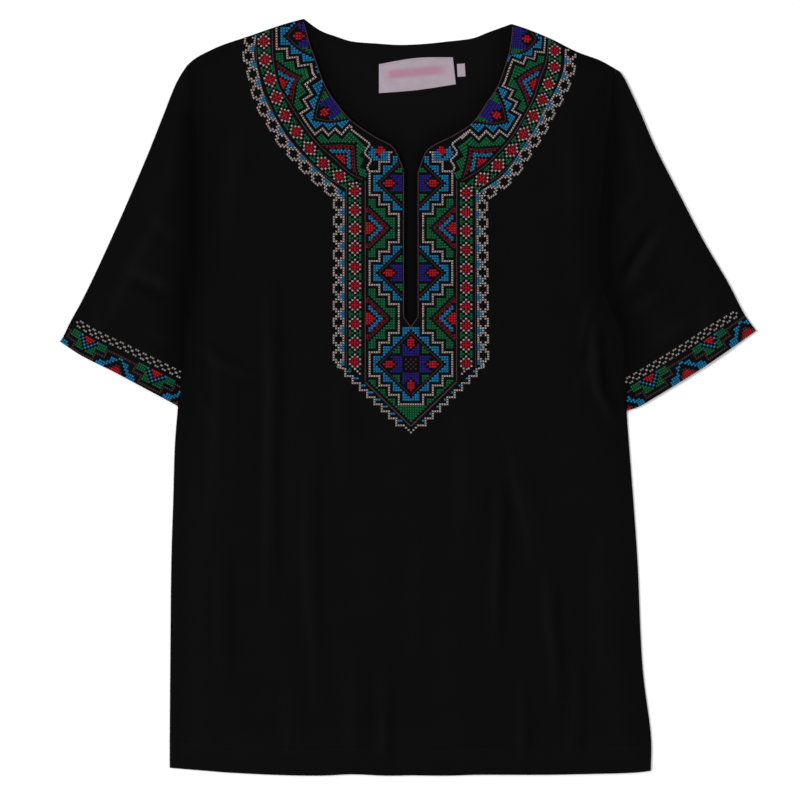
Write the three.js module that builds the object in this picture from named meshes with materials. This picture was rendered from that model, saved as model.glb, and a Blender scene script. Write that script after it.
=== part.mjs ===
// A short-sleeved tunic laid flat on its back, in millimetres. X runs across it, Y runs up from the hem to the
// neck and Z rises from the surface. Every piece is a thin wall of cloth: the back lies on the surface, the front
// lies on the back in soft folds, and each sleeve is a tube pressed flat. A woven label and a size tab lie inside
// the neck. The outline isn't quite the same on both sides, as a tunic that was laid out by hand never is.
import * as THREE from 'three';

// ---- Driving dimensions ----
const CLOTH = 1.2; // thickness of a cloth wall
const LABEL_CLOTH = 1.0; // thickness of the label and of the size tab
const SEAM = 0.3; // space between two pieces that are sewn together or lie on each other
const SECOND_LAYER = CLOTH + SEAM; // height of the underside of whatever lies on the back panel
const CENTRE_X = 2.5; // centre line of the front
const SLIT_LEFT = -4.2; // left edge of the open placket slit
const SLIT_RIGHT = 9.4; // right edge of the open placket slit
const SLIT_FOOT = 79; // height up the front of the slit's pointed foot
const SLIT_SHOULDER = 88; // height at which the slit has its full width
const FRONT_LOFT = 1.8; // how far the middle of the front stands off the back
const SLEEVE_LOFT = 1.2; // the same for the upper layer of a sleeve
const SETTLE = 42; // distance from an edge over which a layer comes down onto the one below it
const FOLD_RADIUS = CLOTH + SEAM / 2; // outer radius of the tight fold along a flattened sleeve

// ---- Mesh steps ----
const SKIRT_ROWS = 12; // rows from the hem up to the underarm, and in the middle to the foot of the slit
const SLIT_ROWS = 5; // rows along the slit
const NECK_ROWS = 9; // rows along the neckline
const ARMHOLE_ROWS = SLIT_ROWS + NECK_ROWS;
const BODY_ROWS = SKIRT_ROWS + ARMHOLE_ROWS;
const HALF_COLUMNS = 16; // columns of one half of the front
const SHOULDER_COLUMNS = 6; // columns of the back under each shoulder
const BACK_NECK_COLUMNS = 10; // columns of the back under the neck
const BACK_COLUMNS = 2 * SHOULDER_COLUMNS + BACK_NECK_COLUMNS;
const SLEEVE_STEPS = 8; // steps from the armhole to the cuff
const SLEEVE_COLUMNS = ARMHOLE_ROWS - 1; // steps across a sleeve, one for each armhole row above the underarm
const FOLD_STEPS = 4; // steps round each folded edge of a sleeve
const LABEL_ROWS = 2;
const LABEL_COLUMNS = 8;
const SEAM_FOOT = 0.2; // the cuff's inner end, as a share of the lowest armhole row

// ---- Outline, each edge as [x, y] points from its lower or outer end ----
const LEFT = {
  hem: [[-262.9, -408.1], [-229.4, -410.9], [-194.2, -413.6], [-141.4, -416.1], [-97.4, -416.7],
    [-62.2, -415.3], [-27, -416.7], [CENTRE_X, -416.4]],
  side: [[-262.9, -408.1], [-262.9, -371.8], [-262.4, -300.3], [-261.3, -187], [-259.1, -113.3],
    [-257.4, -55], [-254.3, -15.4]],
  armhole: [[-254.3, -15.4], [-248.1, 35.2], [-246.4, 73.7], [-239.3, 117.7], [-236, 172.7], [-237, 271.7],
    [-240.4, 337.7], [-242.6, 366.3]],
  shoulder: [[-242.6, 366.3], [-233.8, 373.5], [-220.6, 380.6], [-203, 388.3], [-176.6, 397.1],
    [-141.4, 409.2], [-115.5, 416.6]],
  neckline: [[SLIT_LEFT, 249.7], [-13.8, 267.3], [-28.1, 279.4], [-49, 288.2], [-69.9, 302.5],
    [-84.2, 320.1], [-99.6, 361.9], [-109.5, 402.6], [-115.5, 416.6]],
  sleeveTop: [[-242.6, 366.3], [-255.8, 345.4], [-271.2, 306.9], [-288.8, 262.9], [-315.2, 201.3],
    [-341.6, 143], [-359.2, 106.7], [-372.4, 82.5], [-382.8, 60.5]],
  cuff: [[-382.8, 60.5], [-359.2, 45.1], [-324, 27.5], [-288.8, 8.8], [-253, -9.9]],
};
const RIGHT = {
  hem: [[266.8, -411.4], [245.9, -413.6], [210.7, -414.7], [149.1, -415.8], [78.7, -415.8], [43.5, -416.7],
    [CENTRE_X, -416.4]],
  side: [[266.8, -411.4], [266.8, -371.8], [259.1, -311.3], [255.8, -266.2], [252.5, -187], [248.1, -121],
    [243.7, -63.8], [240.4, -19.8]],
  armhole: [[240.4, -19.8], [239.3, 13.2], [240.4, 51.7], [234.9, 73.7], [223.9, 106.7], [216.2, 128.7],
    [212.9, 172.7], [218.4, 238.7], [226.1, 326.7], [228.3, 360.8]],
  shoulder: [[228.3, 360.8], [210.7, 370.7], [184.3, 380.6], [157.9, 393.8], [131.5, 404.8], [113.3, 410.9]],
  neckline: [[SLIT_RIGHT, 246.4], [16, 264], [30.3, 279.4], [54.5, 288.2], [77.6, 305.8], [94.1, 328.9],
    [107.3, 361.9], [112.8, 402.6], [113.3, 410.9]],
  sleeveTop: [[228.3, 360.8], [237.1, 352], [254.7, 314.6], [272.3, 273.9], [298.7, 222.2], [325.1, 171.6],
    [351.5, 126.5], [369.1, 92.4], [382.8, 73]],
  cuff: [[382.8, 73], [360.3, 57.2], [325.1, 33], [289.9, 11], [254.7, -9.9], [241.6, -18.7]],
};
const BACK_NECK = [[-115.5, 416.6], [-97.4, 403.7], [-79.8, 397.1], [-62.2, 391.6], [-35.8, 389.4],
  [-9.4, 387.8], [17.1, 388.9], [43.5, 391.6], [69.9, 394.9], [87.5, 401.5], [113.3, 410.9]];
// The labels' corners, and how far the middle of the top and of the low edge lies below the corners' line.
const NECK_LABEL = { topLeft: [-32.5, 366.4], topRight: [48.9, 374], lowLeft: [-32.5, 334.4],
  lowRight: [52.2, 344.3], topSag: -3, lowSag: 1.5 };
const SIZE_TAB = { topLeft: [53.3, 366.6], topRight: [62, 367.2], lowLeft: [54.1, 352.4],
  lowRight: [62.8, 353], topSag: 0, lowSag: 0 };

// ---- Soft folds: a low ridge from (x0, y0) to (x1, y1), its height, half-width and sideways bow ----
const FRONT_FOLDS = [
  { x0: -158, y0: 110, x1: -162, y1: -340, height: 3.2, half: 17, bow: 6 },
  { x0: -108, y0: -30, x1: -98, y1: -372, height: 2.2, half: 14, bow: -5 },
  { x0: -30, y0: -290, x1: -34, y1: -405, height: 2.0, half: 13, bow: 2 },
  { x0: 88, y0: -60, x1: 84, y1: -360, height: 2.4, half: 15, bow: 5 },
  { x0: 152, y0: -90, x1: 128, y1: -385, height: 3.0, half: 16, bow: -7 },
  { x0: 190, y0: 92, x1: 232, y1: -95, height: 3.6, half: 13, bow: 8 },
  { x0: -205, y0: 150, x1: -178, y1: 330, height: 1.8, half: 18, bow: 5 },
  { x0: 182, y0: 180, x1: 168, y1: 330, height: 1.8, half: 18, bow: -5 },
];
const SLEEVE_FOLDS = {
  left: [
    { x0: -246, y0: 120, x1: -318, y1: 150, height: 2.4, half: 16, bow: 5 },
    { x0: -262, y0: 220, x1: -330, y1: 80, height: 1.8, half: 15, bow: -6 },
  ],
  right: [
    { x0: 234, y0: 115, x1: 284, y1: 196, height: 2.8, half: 14, bow: 4 },
    { x0: 250, y0: 60, x1: 330, y1: 96, height: 1.8, half: 15, bow: -5 },
  ],
};

// ---- Curves and patches ----
// A smooth edge through its points, as a function of the share of its length.
function edge(points) {
  const curve = new THREE.SplineCurve(points.map(([x, y]) => new THREE.Vector2(x, y)));
  return (share) => curve.getPointAt(share);
}

// A straight edge between two points.
function straight(from, to) {
  const start = new THREE.Vector2(...from);
  const end = new THREE.Vector2(...to);
  return (share) => start.clone().lerp(end, share);
}

// Several edges end to end, each over its own count of rows.
function chain(stretches) {
  const total = stretches.reduce((sum, stretch) => sum + stretch.rows, 0);
  return (share) => {
    let row = share * total;
    for (const stretch of stretches.slice(0, -1)) {
      if (row <= stretch.rows) return stretch.edge(row / stretch.rows);
      row -= stretch.rows;
    }
    const last = stretches[stretches.length - 1];
    return last.edge(Math.min(row / last.rows, 1));
  };
}

// A Coons patch: the blend across u of two edges, plus the blend across v of the other two, less the blend of
// the four corners, which both of the first two hold.
function coons(edges, u, v) {
  const across = edges.outer(v).multiplyScalar(1 - u).add(edges.inner(v).multiplyScalar(u));
  const along = edges.low(u).multiplyScalar(1 - v).add(edges.high(u).multiplyScalar(v));
  const lowCorners = edges.low(0).multiplyScalar(1 - u).add(edges.low(1).multiplyScalar(u));
  const highCorners = edges.high(0).multiplyScalar(1 - u).add(edges.high(1).multiplyScalar(u));
  const corners = lowCorners.multiplyScalar(1 - v).add(highCorners.multiplyScalar(v));
  return across.add(along).sub(corners);
}

// ---- Heights ----
// 0 at an edge, 1 from SETTLE on, level at both ends.
function settled(distance) {
  return THREE.MathUtils.smoothstep(distance, 0, SETTLE);
}

// The height that a table of folds adds at a point. Along each fold it rises and falls as a half sine, and
// across it as a bell.
function foldHeight(folds, point) {
  let height = 0;
  for (const fold of folds) {
    const start = new THREE.Vector2(fold.x0, fold.y0);
    const run = new THREE.Vector2(fold.x1, fold.y1).sub(start);
    const offset = point.clone().sub(start);
    const share = offset.dot(run) / run.lengthSq();
    if (share <= 0 || share >= 1) continue;
    const swell = Math.sin(Math.PI * share);
    const aside = run.cross(offset) / run.length() - fold.bow * swell;
    height += fold.height * swell * Math.exp(-((aside / fold.half) ** 2));
  }
  return height;
}

// ---- Solids ----
// One closed wall from grids of points: each grid is the wall's underside, the upper side is the same points
// raised by the thickness, and a rim closes every edge that only one square uses.
function wall(grids, thickness) {
  const places = [];
  const known = new Map();
  const squares = [];
  const number = (point) => {
    const key = `${point.x.toFixed(3)},${point.y.toFixed(3)}`;
    if (!known.has(key)) {
      known.set(key, places.length);
      places.push(point);
    }
    return known.get(key);
  };
  for (const grid of grids) {
    for (let row = 0; row + 1 < grid.length; row += 1) {
      for (let column = 0; column + 1 < grid[row].length; column += 1) {
        const corners = [grid[row][column], grid[row][column + 1], grid[row + 1][column + 1],
          grid[row + 1][column]];
        squares.push(corners.map(number));
      }
    }
  }
  const raised = places.length;
  const faces = [];
  const rim = new Map();
  for (const [a, b, c, d] of squares) {
    faces.push(raised + a, raised + b, raised + c, raised + a, raised + c, raised + d);
    faces.push(a, c, b, a, d, c);
    for (const [from, to] of [[a, b], [b, c], [c, d], [d, a]]) {
      if (!rim.delete(`${to},${from}`)) rim.set(`${from},${to}`, [from, to]);
    }
  }
  for (const [from, to] of rim.values()) {
    faces.push(from, to, raised + to, from, raised + to, raised + from);
  }
  const positions = places.flatMap((p) => [p.x, p.y, p.z]);
  positions.push(...places.flatMap((p) => [p.x, p.y, p.z + thickness]));
  return solid(positions, faces);
}

// One closed tube from rings of outer points and rings of inner points, open at both ends.
function tube(outerRings, innerRings) {
  const around = outerRings[0].length;
  const last = outerRings.length - 1;
  const points = [...outerRings.flat(), ...innerRings.flat()];
  const inner = outerRings.length * around;
  const faces = [];
  const quad = (a, b, c, d) => faces.push(a, b, c, a, c, d);
  for (let i = 0; i < around; i += 1) {
    const next = (i + 1) % around;
    for (let ring = 0; ring < last; ring += 1) {
      const here = ring * around;
      const there = here + around;
      quad(here + i, there + i, there + next, here + next);
      quad(inner + here + next, inner + there + next, inner + there + i, inner + here + i);
    }
    const end = last * around;
    quad(i, next, inner + next, inner + i);
    quad(end + next, end + i, inner + end + i, inner + end + next);
  }
  return solid(points.flatMap((p) => [p.x, p.y, p.z]), faces);
}

function solid(positions, faces) {
  const geometry = new THREE.BufferGeometry();
  geometry.setAttribute('position', new THREE.Float32BufferAttribute(positions, 3));
  geometry.setIndex(faces);
  geometry.computeVertexNormals();
  return geometry;
}

// A grid of rows and columns over a patch, with a height for each point. The columns of a right-hand patch run
// the other way, so they are turned round to keep the squares facing up.
function gridOver(edges, rows, columns, heightAt, turnRound) {
  const grid = [];
  for (let row = 0; row <= rows; row += 1) {
    const line = [];
    for (let column = 0; column <= columns; column += 1) {
      const u = column / columns;
      const v = row / rows;
      const place = coons(edges, u, v);
      line.push(new THREE.Vector3(place.x, place.y, heightAt(place, u, v)));
    }
    grid.push(turnRound ? line.reverse() : line);
  }
  return grid;
}

// The outer edge of the body on one side, up the side seam and then the armhole. Front, back and sleeve all take
// their points from it at the same rows, so that their edges stay parallel.
function bodySide(side) {
  return chain([
    { edge: edge(side.side), rows: SKIRT_ROWS },
    { edge: edge(side.armhole), rows: ARMHOLE_ROWS },
  ]);
}

// ---- The pieces ----
// The front in two halves that share the centre line below the slit. The inner edge of each half runs up the
// centre line, the slit and the neckline.
function frontPanel() {
  const foot = [CENTRE_X, SLIT_FOOT];
  const halfGrid = (side, slitX, turnRound) => {
    const outer = bodySide(side);
    const length = outer(0).distanceTo(outer(1));
    const width = Math.abs(outer(0).x - CENTRE_X);
    const edges = {
      outer,
      inner: chain([
        { edge: straight(side.hem[side.hem.length - 1], foot), rows: SKIRT_ROWS },
        { edge: straight(foot, [slitX, SLIT_SHOULDER]), rows: 1 },
        { edge: straight([slitX, SLIT_SHOULDER], side.neckline[0]), rows: SLIT_ROWS - 1 },
        { edge: edge(side.neckline), rows: NECK_ROWS },
      ]),
      low: edge(side.hem),
      high: edge(side.shoulder),
    };
    const heightAt = (place, u, v) => {
      const rise = settled(u * width) * settled(v * length) * settled((1 - v) * length);
      return SECOND_LAYER + rise * (FRONT_LOFT + foldHeight(FRONT_FOLDS, place));
    };
    return gridOver(edges, BODY_ROWS, HALF_COLUMNS, heightAt, turnRound);
  };
  return wall([halfGrid(LEFT, SLIT_LEFT, false), halfGrid(RIGHT, SLIT_RIGHT, true)], CLOTH);
}

// The back lies flat on the surface, from side to side in one patch whose high edge is the shoulders and the
// back neck.
function backPanel() {
  const reversed = (points) => [...points].reverse();
  const edges = {
    outer: bodySide(LEFT),
    inner: bodySide(RIGHT),
    low: chain([
      { edge: edge(LEFT.hem), rows: BACK_COLUMNS / 2 },
      { edge: edge(reversed(RIGHT.hem)), rows: BACK_COLUMNS / 2 },
    ]),
    high: chain([
      { edge: edge(LEFT.shoulder), rows: SHOULDER_COLUMNS },
      { edge: edge(BACK_NECK), rows: BACK_NECK_COLUMNS },
      { edge: edge(reversed(RIGHT.shoulder)), rows: SHOULDER_COLUMNS },
    ]),
  };
  return wall([gridOver(edges, BODY_ROWS, BACK_COLUMNS, () => 0, false)], CLOTH);
}

// A sleeve is a tube pressed flat, open at the armhole and at the cuff. Its armhole end runs a seam's space
// outside the body's edge, from the shoulder down to the lowest armhole row, and its short underarm seam goes on
// down that row to the cuff. outward is -1 or 1, the way that the sleeve points along X.
function sleeve(side, folds, outward) {
  const beside = (place) => new THREE.Vector2(place.x + outward * SEAM, place.y);
  const armhole = edge(side.armhole);
  const lowestRow = straight(armhole(0).toArray(), armhole(1 / ARMHOLE_ROWS).toArray());
  const cuffEnd = beside(lowestRow(SEAM_FOOT)).toArray();
  const edges = {
    outer: edge([beside(armhole(1)).toArray(), ...side.sleeveTop.slice(1)]),
    inner: (v) => beside(lowestRow(1 - v * (1 - SEAM_FOOT))),
    low: (u) => beside(armhole(1 - (u * SLEEVE_COLUMNS) / ARMHOLE_ROWS)),
    high: edge([...side.cuff.slice(0, -1), cuffEnd]),
  };
  const length = edges.low(0.5).distanceTo(edges.high(0.5));
  const ringAt = (v, inset) => {
    const span = edges.outer(v).distanceTo(edges.inner(v));
    const radius = FOLD_RADIUS - inset;
    const ring = [];
    const put = (u, z) => {
      const place = coons(edges, u, v);
      ring.push(new THREE.Vector3(place.x, place.y, z));
    };
    const loft = (u) => {
      const rise = settled(u * span) * settled((1 - u) * span) * settled(v * length);
      return rise * (SLEEVE_LOFT + foldHeight(folds, coons(edges, u, v)));
    };
    const bend = Array.from({ length: FOLD_STEPS + 1 }, (_, step) => (Math.PI * step) / FOLD_STEPS);
    for (const angle of bend) {
      put((FOLD_RADIUS - radius * Math.sin(angle)) / span, FOLD_RADIUS - radius * Math.cos(angle));
    }
    for (let column = 1; column < SLEEVE_COLUMNS; column += 1) {
      const u = column / SLEEVE_COLUMNS;
      put(u, 2 * FOLD_RADIUS - inset + loft(u));
    }
    for (const angle of bend) {
      put(1 - (FOLD_RADIUS - radius * Math.sin(angle)) / span, FOLD_RADIUS + radius * Math.cos(angle));
    }
    for (let column = SLEEVE_COLUMNS - 1; column > 0; column -= 1) {
      put(column / SLEEVE_COLUMNS, inset);
    }
    return outward < 0 ? ring : ring.reverse();
  };
  const shares = Array.from({ length: SLEEVE_STEPS + 1 }, (_, step) => step / SLEEVE_STEPS);
  return tube(shares.map((v) => ringAt(v, 0)), shares.map((v) => ringAt(v, CLOTH)));
}

// A small woven label, on the back's upper side. Its long edges curve a little between their ends.
function label(corners) {
  const curved = (from, to, sag) => {
    const middle = [(from[0] + to[0]) / 2, (from[1] + to[1]) / 2 - sag];
    return edge([from, middle, to]);
  };
  const edges = {
    outer: straight(corners.lowLeft, corners.topLeft),
    inner: straight(corners.lowRight, corners.topRight),
    low: curved(corners.lowLeft, corners.lowRight, corners.lowSag),
    high: curved(corners.topLeft, corners.topRight, corners.topSag),
  };
  return wall([gridOver(edges, LABEL_ROWS, LABEL_COLUMNS, () => SECOND_LAYER, false)], LABEL_CLOTH);
}

// ---- Finishes ----
const blackCloth = () => new THREE.MeshStandardMaterial({ color: 0x101011, roughness: 0.92, metalness: 0 });
const paleCloth = () => new THREE.MeshStandardMaterial({ color: 0xe6dcdc, roughness: 0.7, metalness: 0 });

// ---- Assembly ----
const group = new THREE.Group();

function add(name, geometry, material) {
  const mesh = new THREE.Mesh(geometry, material);
  mesh.name = name;
  group.add(mesh);
}

add('front_panel', frontPanel(), blackCloth());
add('back_panel', backPanel(), blackCloth());
add('sleeve_left', sleeve(LEFT, SLEEVE_FOLDS.left, -1), blackCloth());
add('sleeve_right', sleeve(RIGHT, SLEEVE_FOLDS.right, 1), blackCloth());
add('neck_label', label(NECK_LABEL), paleCloth());
add('size_tab', label(SIZE_TAB), paleCloth());

export default group;
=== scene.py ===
# %% [markdown]
# # An embroidered tunic, laid flat
#
# This lesson dresses a plain model of a short-sleeved black tunic. The tunic lies on its back on a table. Its
# cloth comes first, as thin shells with soft folds, then the cross-stitch round the neck, the placket and the
# cuffs, one stitch at a time, and last the sewing and the finishes.
#
# Every length in the tables is in millimetres. X runs across the tunic, Y runs up from the hem to the neck, and
# Z rises from the table. A helper turns millimetres into Blender's metres when a mesh is made.

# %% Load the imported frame
import math

import bpy
import numpy as np
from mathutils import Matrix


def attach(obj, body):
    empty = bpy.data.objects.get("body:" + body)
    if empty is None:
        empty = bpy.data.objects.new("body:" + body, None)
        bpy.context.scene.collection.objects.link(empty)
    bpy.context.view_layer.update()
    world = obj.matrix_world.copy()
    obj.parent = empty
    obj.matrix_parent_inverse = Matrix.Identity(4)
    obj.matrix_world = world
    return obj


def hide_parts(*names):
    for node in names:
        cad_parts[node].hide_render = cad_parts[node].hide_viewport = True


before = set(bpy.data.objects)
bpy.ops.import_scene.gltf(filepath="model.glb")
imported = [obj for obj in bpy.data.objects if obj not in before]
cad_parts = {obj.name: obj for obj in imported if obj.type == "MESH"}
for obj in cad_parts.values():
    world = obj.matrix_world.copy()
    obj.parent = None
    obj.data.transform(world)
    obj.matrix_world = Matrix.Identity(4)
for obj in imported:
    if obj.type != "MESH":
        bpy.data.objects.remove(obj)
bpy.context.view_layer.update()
MM = 0.001
print("nodes to dress:", ", ".join(sorted(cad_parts)))

# %% [markdown]
# ## Camera, table and light
#
# A garment laid flat is pictured from straight above with a long lens, so that nothing leans. The camera could be
# orthographic, but a real lens at three metres gives the same picture and a true look from other sides. The light
# is a large soft box at the left, with a weaker one across from it, because black cloth only shows its
# folds where the light comes from the side.

# %% Camera
CAMERA_X, CAMERA_Y, CAMERA_Z = -9.35, -3.3, 3000.0
VIEW_WIDTH = 880.0  # width of what the camera sees, at the height of the cloth
CLOTH_HEIGHT = 4.0
SENSOR = 36.0

camera_data = bpy.data.cameras.new("camera")
camera_data.sensor_width = SENSOR
camera_data.lens = SENSOR * (CAMERA_Z - CLOTH_HEIGHT) / VIEW_WIDTH
camera_data.clip_end = 20.0
camera = bpy.data.objects.new("camera", camera_data)
camera.location = (CAMERA_X * MM, CAMERA_Y * MM, CAMERA_Z * MM)
bpy.context.collection.objects.link(camera)
bpy.context.scene.camera = camera
print(f"lens {camera_data.lens:.1f} mm")


# %% Lights
def soft_box(name, place, aim, size, power):
    """An area light at a place in metres, turned so that it looks at the aim."""
    data = bpy.data.lights.new(name, "AREA")
    data.shape = "SQUARE"
    data.size = size
    data.energy = power
    light = bpy.data.objects.new(name, data)
    light.location = place
    way = np.array(aim) - np.array(place)
    flat = math.hypot(way[0], way[1])
    light.rotation_euler = (math.atan2(flat, -way[2]), 0.0, math.atan2(way[1], way[0]) - math.pi / 2)
    bpy.context.collection.objects.link(light)
    return light


soft_box("key_light", (-3.6, 0.5, 3.3), (0, 0, 0), 2.0, 228)
soft_box("fill_light", (2.0, 0.4, 2.2), (0, 0, 0), 1.8, 24)
world = bpy.data.worlds.new("studio")
world.use_nodes = True
world.node_tree.nodes["Background"].inputs["Color"].default_value = (1.0, 1.0, 1.0, 1.0)
world.node_tree.nodes["Background"].inputs["Strength"].default_value = 0.45
bpy.context.scene.world = world
bpy.context.scene.view_settings.view_transform = "Standard"

# %% [markdown]
# ## Writing shader maths as plain expressions
#
# A material is a network of nodes, and dozens of Math nodes are hard to read. A small class wraps one socket and
# overloads the operators, so that `1 - mask * 0.5` adds its own nodes. Any other node comes from one method, which
# takes the node's type, then its settings, then what its sockets are given.


# %% Sockets with operators, and the graph that holds them
class Value:
    """One output socket. Arithmetic on it adds Math nodes to its graph."""

    def __init__(self, graph, socket):
        self.graph = graph
        self.socket = socket

    def math(self, operation, *others):
        """One Math node on this value and any others."""
        settings = {"operation": operation}
        return self.graph.node("ShaderNodeMath", settings, *([self] + list(others)))

    def __add__(self, other):
        return self.math("ADD", other)

    def __sub__(self, other):
        return self.math("SUBTRACT", other)

    def __mul__(self, other):
        return self.math("MULTIPLY", other)

    def __rsub__(self, other):
        return self.graph.node("ShaderNodeMath", {"operation": "SUBTRACT"}, other, self)

    __radd__ = __add__
    __rmul__ = __mul__

    def sine(self):
        """The sine of an angle in radians."""
        return self.math("SINE")

    def between(self, low, high):
        """0 below low, 1 above high, and a smooth step between them."""
        settings = {"interpolation_type": "SMOOTHSTEP"}
        return self.graph.node("ShaderNodeMapRange", settings, Value=self, **{"From Min": low, "From Max": high})


class Graph:
    """A material with one Principled shader, and the method that adds its nodes."""

    def __init__(self, name, **constants):
        self.material = bpy.data.materials.new(name)
        self.material.use_nodes = True
        self.tree = self.material.node_tree
        self.shader = self.tree.nodes["Principled BSDF"]
        for key, value in constants.items():
            self.shader.inputs[key.replace("_", " ")].default_value = value

    def node(self, kind, settings=None, *places, output=0, **sockets):
        """Any node: its settings first, then its sockets by number or by name."""
        made = self.tree.nodes.new(kind)
        for key, value in (settings or {}).items():
            setattr(made, key, value)
        for index, value in enumerate(places):
            self.put(made.inputs[index], value)
        for key, value in sockets.items():
            self.put(made.inputs[key], value)
        return Value(self, made.outputs[output])

    def put(self, socket, value):
        """Links a value to a socket, or sets the socket to a plain number or colour."""
        if isinstance(value, Value):
            self.tree.links.new(value.socket, socket)
        else:
            socket.default_value = value

    def place(self):
        """Object coordinates, which are metres in the part's own frame."""
        return self.node("ShaderNodeTexCoord", output="Object")

    def parts(self, vector):
        """The x, y and z of a vector, each as a value."""
        made = self.tree.nodes.new("ShaderNodeSeparateXYZ")
        self.put(made.inputs[0], vector)
        return [Value(self, socket) for socket in made.outputs]

    def noise(self, vector, scale, detail=3.0, roughness=0.5):
        return self.node(
            "ShaderNodeTexNoise", None, Vector=vector, Scale=scale, Detail=detail, Roughness=roughness
        )

    def mix(self, share, low, high):
        """The colour low where share is 0 and high where it is 1."""
        made = self.tree.nodes.new("ShaderNodeMix")
        made.data_type = "RGBA"
        sockets = {s.identifier: s for s in made.inputs}
        self.put(sockets["Factor_Float"], share)
        self.put(sockets["A_Color"], low)
        self.put(sockets["B_Color"], high)
        return Value(self, {s.identifier: s for s in made.outputs}["Result_Color"])

    def attribute(self, name):
        """A number that the mesh carries at each point."""
        return self.node("ShaderNodeAttribute", {"attribute_name": name}, output="Fac")

    def feed(self, **links):
        """Links values to the shader's own sockets."""
        for key, value in links.items():
            self.put(self.shader.inputs[key.replace("_", " ")], value)

    def bump(self, height, strength, distance):
        """Tilts the normal as if the surface rose by the height times the distance, in metres."""
        self.feed(Normal=self.node("ShaderNodeBump", None, Strength=strength, Distance=distance, Height=height))


print("shader helpers are ready")

# %% [markdown]
# ## The cut of the tunic
#
# A pattern cutter draws a garment as named edges: hem, side, armhole, shoulder and neckline. Each edge here is a
# short table of points with a smooth curve through them. They are the plain model's own, so the cloth lies over
# it, but for the neckline, which stands up to 8 mm further in and has more points. The two sides aren't mirror
# images, because cloth laid out by hand never is.

# %% The edges
CENTRE_X = 2.5
SLIT_LEFT, SLIT_RIGHT = -4.2, 9.4
SLIT_FOOT, SLIT_SHOULDER = 79.0, 88.0
LEFT = {
    "hem": [(-262.9, -408.1), (-229.4, -410.9), (-194.2, -413.6), (-141.4, -416.1), (-97.4, -416.7),
            (-62.2, -415.3), (-27, -416.7), (CENTRE_X, -416.4)],
    "side": [(-262.9, -408.1), (-262.9, -371.8), (-262.4, -300.3), (-261.3, -187), (-259.1, -113.3),
             (-257.4, -55), (-254.3, -15.4)],
    "armhole": [(-254.3, -15.4), (-248.1, 35.2), (-246.4, 73.7), (-239.3, 117.7), (-236, 172.7), (-237, 271.7),
                (-240.4, 337.7), (-242.6, 366.3)],
    "shoulder": [(-242.6, 366.3), (-233.8, 373.5), (-220.6, 380.6), (-203, 388.3), (-176.6, 397.1),
                 (-141.4, 409.2), (-115.5, 416.6)],
    "neckline": [(SLIT_LEFT, 249.7), (-12.4, 269.6), (-18.8, 277.9), (-34, 285.8), (-49.1, 295.4), (-63.8, 306.3),
                 (-77.4, 322.3), (-88.4, 338.4), (-95.2, 353.6), (-101.4, 371.3), (-107.2, 387.5), (-115.5, 416.6)],
    "sleeve_top": [(-242.6, 366.3), (-255.8, 345.4), (-271.2, 306.9), (-288.8, 262.9), (-315.2, 201.3),
                   (-341.6, 143), (-359.2, 106.7), (-372.4, 82.5), (-382.8, 60.5)],
    "cuff": [(-382.8, 60.5), (-359.2, 45.1), (-324, 27.5), (-288.8, 8.8), (-253, -9.9)],
}
RIGHT = {
    "hem": [(266.8, -411.4), (245.9, -413.6), (210.7, -414.7), (149.1, -415.8), (78.7, -415.8), (43.5, -416.7),
            (CENTRE_X, -416.4)],
    "side": [(266.8, -411.4), (266.8, -371.8), (259.1, -311.3), (255.8, -266.2), (252.5, -187), (248.1, -121),
             (243.7, -63.8), (240.4, -19.8)],
    "armhole": [(240.4, -19.8), (239.3, 13.2), (240.4, 51.7), (234.9, 73.7), (223.9, 106.7), (216.2, 128.7),
                (212.9, 172.7), (218.4, 238.7), (226.1, 326.7), (228.3, 360.8)],
    "shoulder": [(228.3, 360.8), (210.7, 370.7), (184.3, 380.6), (157.9, 393.8), (131.5, 404.8), (113.3, 410.9)],
    "neckline": [(SLIT_RIGHT, 246.4), (17.6, 268.8), (28.2, 278.3), (49.2, 288.8), (69.8, 302.8), (85.8, 325),
                 (96.5, 341.1), (103, 357.1), (109.9, 379.7), (113, 400), (113.3, 410.9)],
    "sleeve_top": [(228.3, 360.8), (237.1, 352), (254.7, 314.6), (272.3, 273.9), (298.7, 222.2), (325.1, 171.6),
                   (351.5, 126.5), (369.1, 92.4), (382.8, 73)],
    "cuff": [(382.8, 73), (360.3, 57.2), (325.1, 33), (289.9, 11), (254.7, -9.9), (241.6, -18.7)],
}
BACK_NECK = [(-115.5, 416.6), (-97.4, 403.7), (-79.8, 397.1), (-62.2, 391.6), (-35.8, 389.4), (-9.4, 387.8),
             (17.1, 388.9), (43.5, 391.6), (69.9, 394.9), (87.5, 401.5), (113.3, 410.9)]
print("edges on each side:", len(LEFT))


# %% Curves and patches
FINE = 48  # straight runs between two points of an edge


def run_of(path):
    """How far along a path each of its points is."""
    return np.concatenate([[0.0], np.cumsum(np.hypot(*np.diff(path, axis=0).T))])


def place_at(path, run, along):
    """The places at given lengths along a path."""
    return np.stack([np.interp(along, run, path[:, k]) for k in (0, 1)], -1)


def unit(way):
    """Directions made one long."""
    return way / np.hypot(way[..., 0], way[..., 1])[..., None]


def to_left(way):
    """Directions turned a quarter to the left."""
    return np.stack([-way[..., 1], way[..., 0]], -1)


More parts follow.
